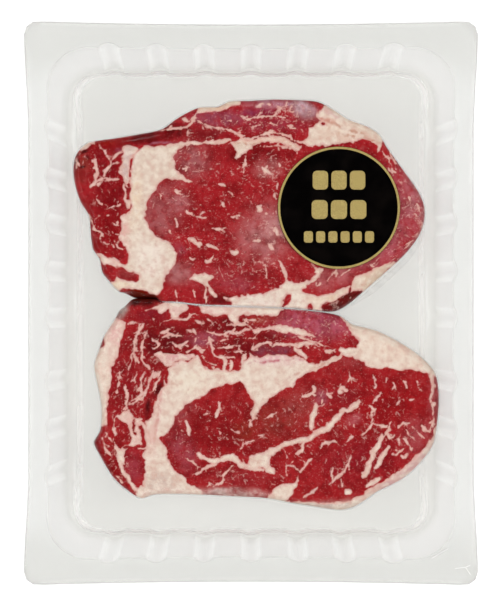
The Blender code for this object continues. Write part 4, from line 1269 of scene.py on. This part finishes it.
def make_film_bridge(upper, lower, material):
    """Film that spans the line where the two steaks press together, drawn down between them."""
    low, high = BRIDGE_REACH
    count = round((high - low) / BRIDGE_STEP)
    bm = bmesh.new()
    bmesh.ops.create_grid(bm, x_segments=count, y_segments=BRIDGE_CELLS, size=1.0)
    points = np.array([vert.co for vert in bm.verts])
    x = low + (points[:, 0] + 1) / 2 * (high - low)
    edges = []
    for body, sign in ((upper, -1), (lower, 1)):
        facing = body.path[sign * (body.path[:, 1] - body.middle[1]) > 0]
        order = np.argsort(facing[:, 0])
        edges.append(np.interp(x, facing[order, 0], facing[order, 1]))
    y = (edges[0] + edges[1]) / 2 + points[:, 1] * BRIDGE_HALF
    flat = np.column_stack((x, y))
    z = upper.crown_at(flat) - BRIDGE_DOWN + BRIDGE_SAG * points[:, 1] ** 2
    piece = object_from("film_bridge", bm)
    write_points(piece.data, np.column_stack((flat, z)))
    fade = 1.0 - BRIDGE_FADE * np.clip((x - BRIDGE_FADE_FROM) / BRIDGE_FADE_OVER, 0.0, 1.0)
    write_number(piece.data, "haze", (BRIDGE_HAZE + lumps(flat, BRIDGE_LUMPS, seed=57)) * fade)
    piece.data.shade_smooth()
    add_wall(piece, FILM_THICK)
    return finish_piece(piece, material, "clear_skin_film")


def add_wall(obj, thickness):
    """Give an open sheet its thickness, inward from its face."""
    solidify = obj.modifiers.new("wall", "SOLIDIFY")
    solidify.thickness = thickness * MM
    solidify.offset = -1.0


def tray_stations():
    """List where the points of every ring lie: along the four sides and round the corners."""
    stations = []
    for side in range(4):
        ribs = END_RIBS if side % 2 else SIDE_RIBS
        turn = 1 if side < 2 else -1
        for middle in sorted(turn * rib for rib in ribs):
            for step in range(RIB_STEPS + 1):
                place = step / RIB_STEPS - 0.5
                stations.append(Station(side, middle + place * RIB_WIDTH, 1 - 4 * place ** 2, None))
        for step in range(CORNER_STEPS + 1):
            stations.append(Station(side, 0.0, 0.0, math.radians(90 * step / CORNER_STEPS)))
    return stations


def smooth_step(low, high, value):
    """Rise from 0 at low to 1 at high with flat ends."""
    t = min(max((value - low) / (high - low), 0.0), 1.0)
    return t * t * (3.0 - 2.0 * t)


def corner_point(half_u, half_v, corner, pivot, angle):
    """Find where a ray from the pivot meets a rounded corner."""
    ray = Vector((math.cos(angle), math.sin(angle)))
    reach_u = (half_u - pivot.x) / max(ray.x, 1e-9)
    reach_v = (half_v - pivot.y) / max(ray.y, 1e-9)
    hit = pivot + ray * min(reach_u, reach_v)
    centre = Vector((half_u - corner, half_v - corner))
    if hit.x > centre.x and hit.y > centre.y:
        offset = pivot - centre
        along = offset.dot(ray)
        hit = pivot + ray * (math.sqrt(along ** 2 - offset.length_squared + corner ** 2) - along)
    return hit


def ring_point(station, ring):
    """Place one station of one ring in space."""
    across = station.side % 2
    half_u, half_v = ring.half if across == 0 else ring.half[::-1]
    mouth_u, mouth_v = MOUTH_HALF if across == 0 else MOUTH_HALF[::-1]
    if station.angle is None:
        over = max(0.0, abs(station.along) - half_v + ring.corner)
        out = half_u - ring.corner + math.sqrt(ring.corner ** 2 - over ** 2)
        flat = Vector((out + ring.ribs[across] * station.rib, station.along))
    else:
        pivot = Vector((mouth_u - MOUTH_CORNER, mouth_v - MOUTH_CORNER))
        flat = corner_point(half_u, half_v, ring.corner, pivot, station.angle)
    x, y = Matrix.Rotation(math.radians(90 * station.side), 2) @ flat
    draw_side = 1.0 - smooth_step(*SIDE_BOW_ENDS, abs(y) / ring.half[1])
    draw_end = 1.0 - min(abs(x) / ring.half[0], 1.0) ** 2
    x -= x * draw_side * ring.bow[0] / ring.half[0]
    y -= y * draw_end * ring.bow[1] / ring.half[1]
    return (x, y, ring.z)


def between(first, second, t):
    """A ring part of the way from one ring to another."""
    def blend(a, b):
        if isinstance(a, tuple):
            return tuple(blend(p, q) for p, q in zip(a, b))
        return a + (b - a) * t
    return Ring(*(blend(a, b) for a, b in zip(first, second)))


def tray_rings(rib_share):
    """Rings of the inner surface, from the lip's edge to the floor."""
    ribs = tuple(depth * rib_share for depth in RIB_DEPTHS)
    outer = (TRAY_HALF_X, TRAY_HALF_Y)
    fold = tuple(half - LIP_WIDTH for half in outer)
    no_ribs = (0.0, 0.0)
    lip = Ring(outer, FLANGE_CORNER, TRAY_HEIGHT - LIP_DROP, FLANGE_BOW, no_ribs)
    flange = Ring(fold, FLANGE_CORNER, TRAY_HEIGHT, FLANGE_BOW, no_ribs)
    rings = []
    for step in range(LIP_STEPS + 1):
        part = step / LIP_STEPS
        z = TRAY_HEIGHT - LIP_DROP * (1 - part) ** 2
        rings.append(between(lip, flange, part)._replace(z=z))
    for step in range(MOUTH_STEPS + 1):
        bend = math.radians(90 * step / MOUTH_STEPS)
        out = MOUTH_ROUND * (1 - math.sin(bend))
        rings.append(Ring(tuple(half + out for half in MOUTH_HALF), MOUTH_CORNER + out,
                          TRAY_HEIGHT - MOUTH_ROUND * (1 - math.cos(bend)), MOUTH_BOW, ribs))
    foot = Ring(WALL_FOOT_HALF, WALL_FOOT_CORNER, TRAY_WALL + FOOT_RADIUS, no_ribs,
                (ribs[0] * SIDE_RIB_FADE, ribs[1]))
    rings += [between(rings[-1], foot, step / WALL_STEPS) for step in range(1, WALL_STEPS + 1)]
    for step in range(1, FOOT_STEPS + 1):
        bend = math.radians(90 * (1 - step / FOOT_STEPS))
        share = math.sin(bend)
        half = tuple(f + (w - f) * share for f, w in zip(FLOOR_HALF, WALL_FOOT_HALF))
        rings.append(Ring(half, FLOOR_CORNER + (WALL_FOOT_CORNER - FLOOR_CORNER) * share,
                          TRAY_WALL + FOOT_RADIUS * (1 - math.cos(bend)), no_ribs,
                          (ribs[0] * SIDE_RIB_FADE * share ** 2,
                           ribs[1] * (1 - END_RIB_FADE * (1 - share)))))
    for inset, ribbing in FLOOR_RINGS:
        rings.append(Ring(tuple(half - inset for half in FLOOR_HALF), FLOOR_CORNER - inset / 2,
                          TRAY_WALL, no_ribs, (0.0, ribs[1] * ribbing)))
    return rings


def ring_sheet(rings):
    """Draw a loop of points inward ring by ring and close it with the floor."""
    stations = tray_stations()
    bm = bmesh.new()
    ring_layer = bm.verts.layers.float.new("ring")
    edge_layer = bm.verts.layers.float.new("rib_edge")
    bmesh.ops.create_circle(bm, segments=len(stations), radius=1.0)
    bm.verts.ensure_lookup_table()
    loops = [list(bm.verts)]
    border = list(bm.edges)
    for _ in rings[1:]:
        drawn = bmesh.ops.extrude_edge_only(bm, edges=border)["geom"]
        fresh = [part for part in drawn if isinstance(part, bmesh.types.BMVert)]
        border = [part for part in drawn if isinstance(part, bmesh.types.BMEdge) and part.is_boundary]
        order = {vert: i for i, vert in enumerate(loops[-1])}
        linked = {}
        for vert in fresh:
            parent = next(e.other_vert(vert) for e in vert.link_edges if e.other_vert(vert) in order)
            linked[order[parent]] = vert
        loops.append([linked[i] for i in range(len(stations))])
    for level, (ring, loop) in enumerate(zip(rings, loops)):
        for station, vert in zip(stations, loop):
            vert.co = ring_point(station, ring)
            vert[ring_layer] = level
            vert[edge_layer] = 4 * station.rib * (1 - station.rib)
    bmesh.ops.contextual_create(bm, geom=border)
    bmesh.ops.recalc_face_normals(bm, faces=bm.faces)
    if max(bm.faces, key=lambda face: face.calc_area()).normal.z < 0:
        bmesh.ops.reverse_faces(bm, faces=bm.faces)
    return bm


def make_tray(material):
    """Clear tray: lip, flange, ribbed walls, rounded foot and floor."""
    piece = object_from("tray_shell", ring_sheet(tray_rings(1.0)))
    mesh = piece.data
    points = read_points(mesh)
    level = read_number(mesh, "ring")
    on_wall = (level > WALL_RINGS[0]) & (level < WALL_RINGS[1])
    haze = np.interp(level, *zip(*TRAY_HAZE))
    haze += RIB_EDGE_HAZE * read_number(mesh, "rib_edge") * on_wall
    at_end = np.clip((abs(points[:, 1]) - GREY_END_FROM) / GREY_END_OVER, 0, 1)
    at_end *= level < GREY_END_RING
    thick = np.interp(level, *zip(*SHEET_SPAN))
    thick *= SHEET_GREY[0] + (SHEET_GREY[1] - SHEET_GREY[0]) * at_end
    write_points(mesh, points)
    write_number(mesh, "haze", haze)
    write_number(mesh, "sheet_thickness", thick)
    mesh.shade_smooth()
    mesh.set_sharp_from_angle(angle=math.radians(30))
    add_wall(piece, SHEET_WALL)
    return finish_piece(piece, material, "clear_tray_plastic", "tray")


def make_film_lining(material):
    """Film that lines the flange, the walls and the floor round the steaks."""
    bm = ring_sheet(tray_rings(LINING_RIBS))
    bm.normal_update()
    for vert in bm.verts:
        vert.co += vert.normal * LINING_OFF
    piece = object_from("film_lining", bm)
    mesh = piece.data
    points = read_points(mesh)
    wave = lumps(points[:, :2], LINING_LUMPS, seed=31)
    at_end = np.clip((abs(points[:, 1]) - FOOT_END_FROM) / FOOT_END_OVER, 0, 1)
    ring, width, strength = (side + (end - side) * at_end for side, end in zip(*FOOT_HIGHLIGHT))
    level = read_number(mesh, "ring")
    # Painted highlight: a band of milky haze along the foot line, wavy and strongest at the ends
    foot = strength * np.exp(-((level - ring) / width) ** 2) * (level < FLOOR_RING)
    write_points(mesh, points)
    write_number(mesh, "haze", LINING_HAZE + foot * np.clip(FOOT_MEAN + wave, *FOOT_LIMITS))
    mesh.shade_smooth()
    add_wall(piece, FILM_THICK)
    return finish_piece(piece, material, "clear_skin_film", "film")


def make_creases(material):
    """Fine sharp creases where the flange's corner was bent."""
    bm = bmesh.new()
    for line in CREASES:
        for start, end in zip(line, line[1:]):
            run = Vector(end) - Vector(start)
            bar = bmesh.ops.create_cube(bm, size=1.0)["verts"]
            bmesh.ops.scale(bm, vec=(run.length, *CREASE_SIZE), verts=bar)
            turn = Matrix.Rotation(math.atan2(run.y, run.x), 3, "Z")
            bmesh.ops.rotate(bm, matrix=turn, verts=bar)
            place = ((start[0] + end[0]) / 2, (start[1] + end[1]) / 2, TRAY_HEIGHT + CREASE_LIFT)
            bmesh.ops.translate(bm, vec=place, verts=bar)
    bmesh.ops.scale(bm, vec=(MM, MM, MM), verts=bm.verts)
    piece = object_from("flange_creases", bm)
    write_number(piece.data, "haze", np.full(len(piece.data.vertices), CREASE_HAZE))
    return finish_piece(piece, material, "clear_tray_plastic")


def lay_on_crown(bm, body, lift):
    """Lay flat shapes, drawn about the label's middle, on the crown of the upper steak."""
    for vert in bm.verts:
        x, y = vert.co.x + LABEL_MIDDLE[0], vert.co.y + LABEL_MIDDLE[1]
        z = body.crown_at(np.array(((x, y),)))[0] + lift + vert.co.z
        vert.co = Vector((x, y, z)) * MM


def raise_faces(bm, height):
    """Thicken flat faces upward into closed plates."""
    geometry = bmesh.ops.extrude_face_region(bm, geom=list(bm.faces), use_keep_orig=True)["geom"]
    moved = [part for part in geometry if isinstance(part, bmesh.types.BMVert)]
    bmesh.ops.translate(bm, verts=moved, vec=(0.0, 0.0, height))
    bmesh.ops.recalc_face_normals(bm, faces=bm.faces)


def make_label(body, material):
    """Round paper label: a thin disc laid on the crown."""
    bm = bmesh.new()
    bmesh.ops.create_circle(bm, segments=ROUND_STEPS, radius=LABEL_RADIUS, cap_ends=True)
    for _ in range(DISC_RINGS):
        hub = max(bm.faces, key=lambda face: len(face.verts))
        bmesh.ops.inset_region(bm, faces=[hub], thickness=LABEL_RADIUS / (DISC_RINGS + 1))
    raise_faces(bm, LABEL_THICK)
    lay_on_crown(bm, body, LABEL_LIFT)
    piece = object_from("label_disc", bm)
    piece.data.shade_smooth()
    piece.data.set_sharp_from_angle(angle=math.radians(40))
    return finish_piece(piece, material, "printed_label", "label")


def rounded_bar(bm, x, y, width, height):
    """One flat bar with round corners."""
    corner = min(width, height) * BAR_CORNER
    base = bmesh.ops.create_grid(bm, x_segments=1, y_segments=1, size=0.5)["verts"]
    bmesh.ops.scale(bm, vec=(width, height, 1.0), verts=base)
    bmesh.ops.translate(bm, vec=(x, y, 0.0), verts=base)
    bmesh.ops.bevel(bm, geom=base, offset=corner, offset_type="OFFSET", segments=BAR_STEPS, profile=0.5,
                    affect="VERTICES", material=-1)


def make_label_print(body, material):
    """Gold border and plain gold bars, thin on the label."""
    bm = bmesh.new()
    for inset in (BORDER_EDGE, BORDER_EDGE + BORDER_WIDTH):
        bmesh.ops.create_circle(bm, segments=ROUND_STEPS, radius=LABEL_RADIUS - inset)
    bmesh.ops.bridge_loops(bm, edges=list(bm.edges))
    bmesh.ops.recalc_face_normals(bm, faces=bm.faces)
    for y, height, count, row_width in LABEL_ROWS:
        width = (row_width + BAR_GAP) / count - BAR_GAP
        for i in range(count):
            x = (i - (count - 1) / 2) * (width + BAR_GAP)
            rounded_bar(bm, x, y, width, height)
    raise_faces(bm, PRINT_THICK)
    lay_on_crown(bm, body, LABEL_LIFT + LABEL_THICK)
    piece = object_from("label_print", bm)
    return finish_piece(piece, material, "printed_label")


def make_floor():
    """Plain white floor under the pack."""
    bm = bmesh.new()
    bmesh.ops.create_grid(bm, x_segments=1, y_segments=1, size=STAGE_HALF)
    bmesh.ops.translate(bm, verts=bm.verts, vec=(0.0, 0.0, -STAGE_DROP))
    floor = object_from("studio_floor", bm)
    material, tree = new_material("studio_floor_white")
    diffuse = add_node(tree, "BsdfDiffuse", {"Color": "#A0A0A0"})
    glow = add_node(tree, "Emission", {"Color": "#FFFFFF", "Strength": FLOOR_GLOW})
    lit = add_node(tree, "AddShader", (diffuse, glow))
    add_node(tree, "OutputMaterial", (lit,))
    floor.data.materials.append(material)
    bpy.context.scene.collection.objects.link(floor)


def add_light(name, place, size, power, mirrored):
    """A square soft light that faces the pack, seen in gloss or not."""
    light = bpy.data.lights.new(name, "AREA")
    light.size = size
    light.energy = power
    obj = bpy.data.objects.new(name, light)
    obj.location = place
    obj.rotation_euler = Vector(place).to_track_quat("Z", "Y").to_euler()
    obj.visible_glossy = mirrored
    obj.visible_camera = False
    bpy.context.scene.collection.objects.link(obj)


def set_stage():
    """Soft studio light, a dim world and the camera straight above the pack."""
    scene = bpy.context.scene
    make_floor()
    for light in LIGHTS:
        add_light(*light)
    world = bpy.data.worlds.new("studio")
    world.use_nodes = True
    world.node_tree.nodes.clear()
    glow = add_node(world.node_tree, "Background", {"Color": "#FFFFFF", "Strength": WORLD_GLOW})
    add_node(world.node_tree, "OutputWorld", (glow,))
    scene.world = world
    scene.view_settings.view_transform = "Standard"
    scene.cycles.transparent_max_bounces = 32

    data = bpy.data.cameras.new("above")
    data.sensor_fit = "VERTICAL"
    data.angle = math.radians(CAMERA_ANGLE)
    data.clip_start = 0.01
    camera = bpy.data.objects.new("above", data)
    camera.location = CAMERA_PLACE
    scene.collection.objects.link(camera)
    scene.camera = camera


def main():
    """Make the steaks, the tray, the film and the label, then the stage."""
    beef = beef_material()
    film = film_material()
    upper = Slice("steak_upper", seed=11)
    lower = Slice("steak_lower", seed=23, skin=LOWER_SKIN)
    make_steak("steak_upper_meat", "steak_upper", upper,
               (UPPER_FAT, UPPER_LEAN_IN_FAT, UPPER_VEINS), UPPER_THREADS,
               (UPPER_LEAN, UPPER_PATCHES), (UPPER_CREAM, UPPER_CREAM_PATCHES), beef)
    make_steak("steak_lower_meat", "steak_lower", lower,
               (LOWER_FAT, LOWER_LEAN_IN_FAT, LOWER_VEINS), LOWER_THREADS,
               (LOWER_LEAN, LOWER_PATCHES), (LOWER_CREAM, LOWER_CREAM_PATCHES), beef)
    pet = tray_material()
    make_tray(pet)
    make_creases(pet)
    make_film_lining(film)
    make_film_cover("film_over_upper", upper, UPPER_SLACK, film)
    make_film_cover("film_over_lower", lower, LOWER_SLACK, film)
    make_film_bridge(upper, lower, film)
    make_label(upper, label_material())
    make_label_print(upper, gold_material())
    set_stage()


main()
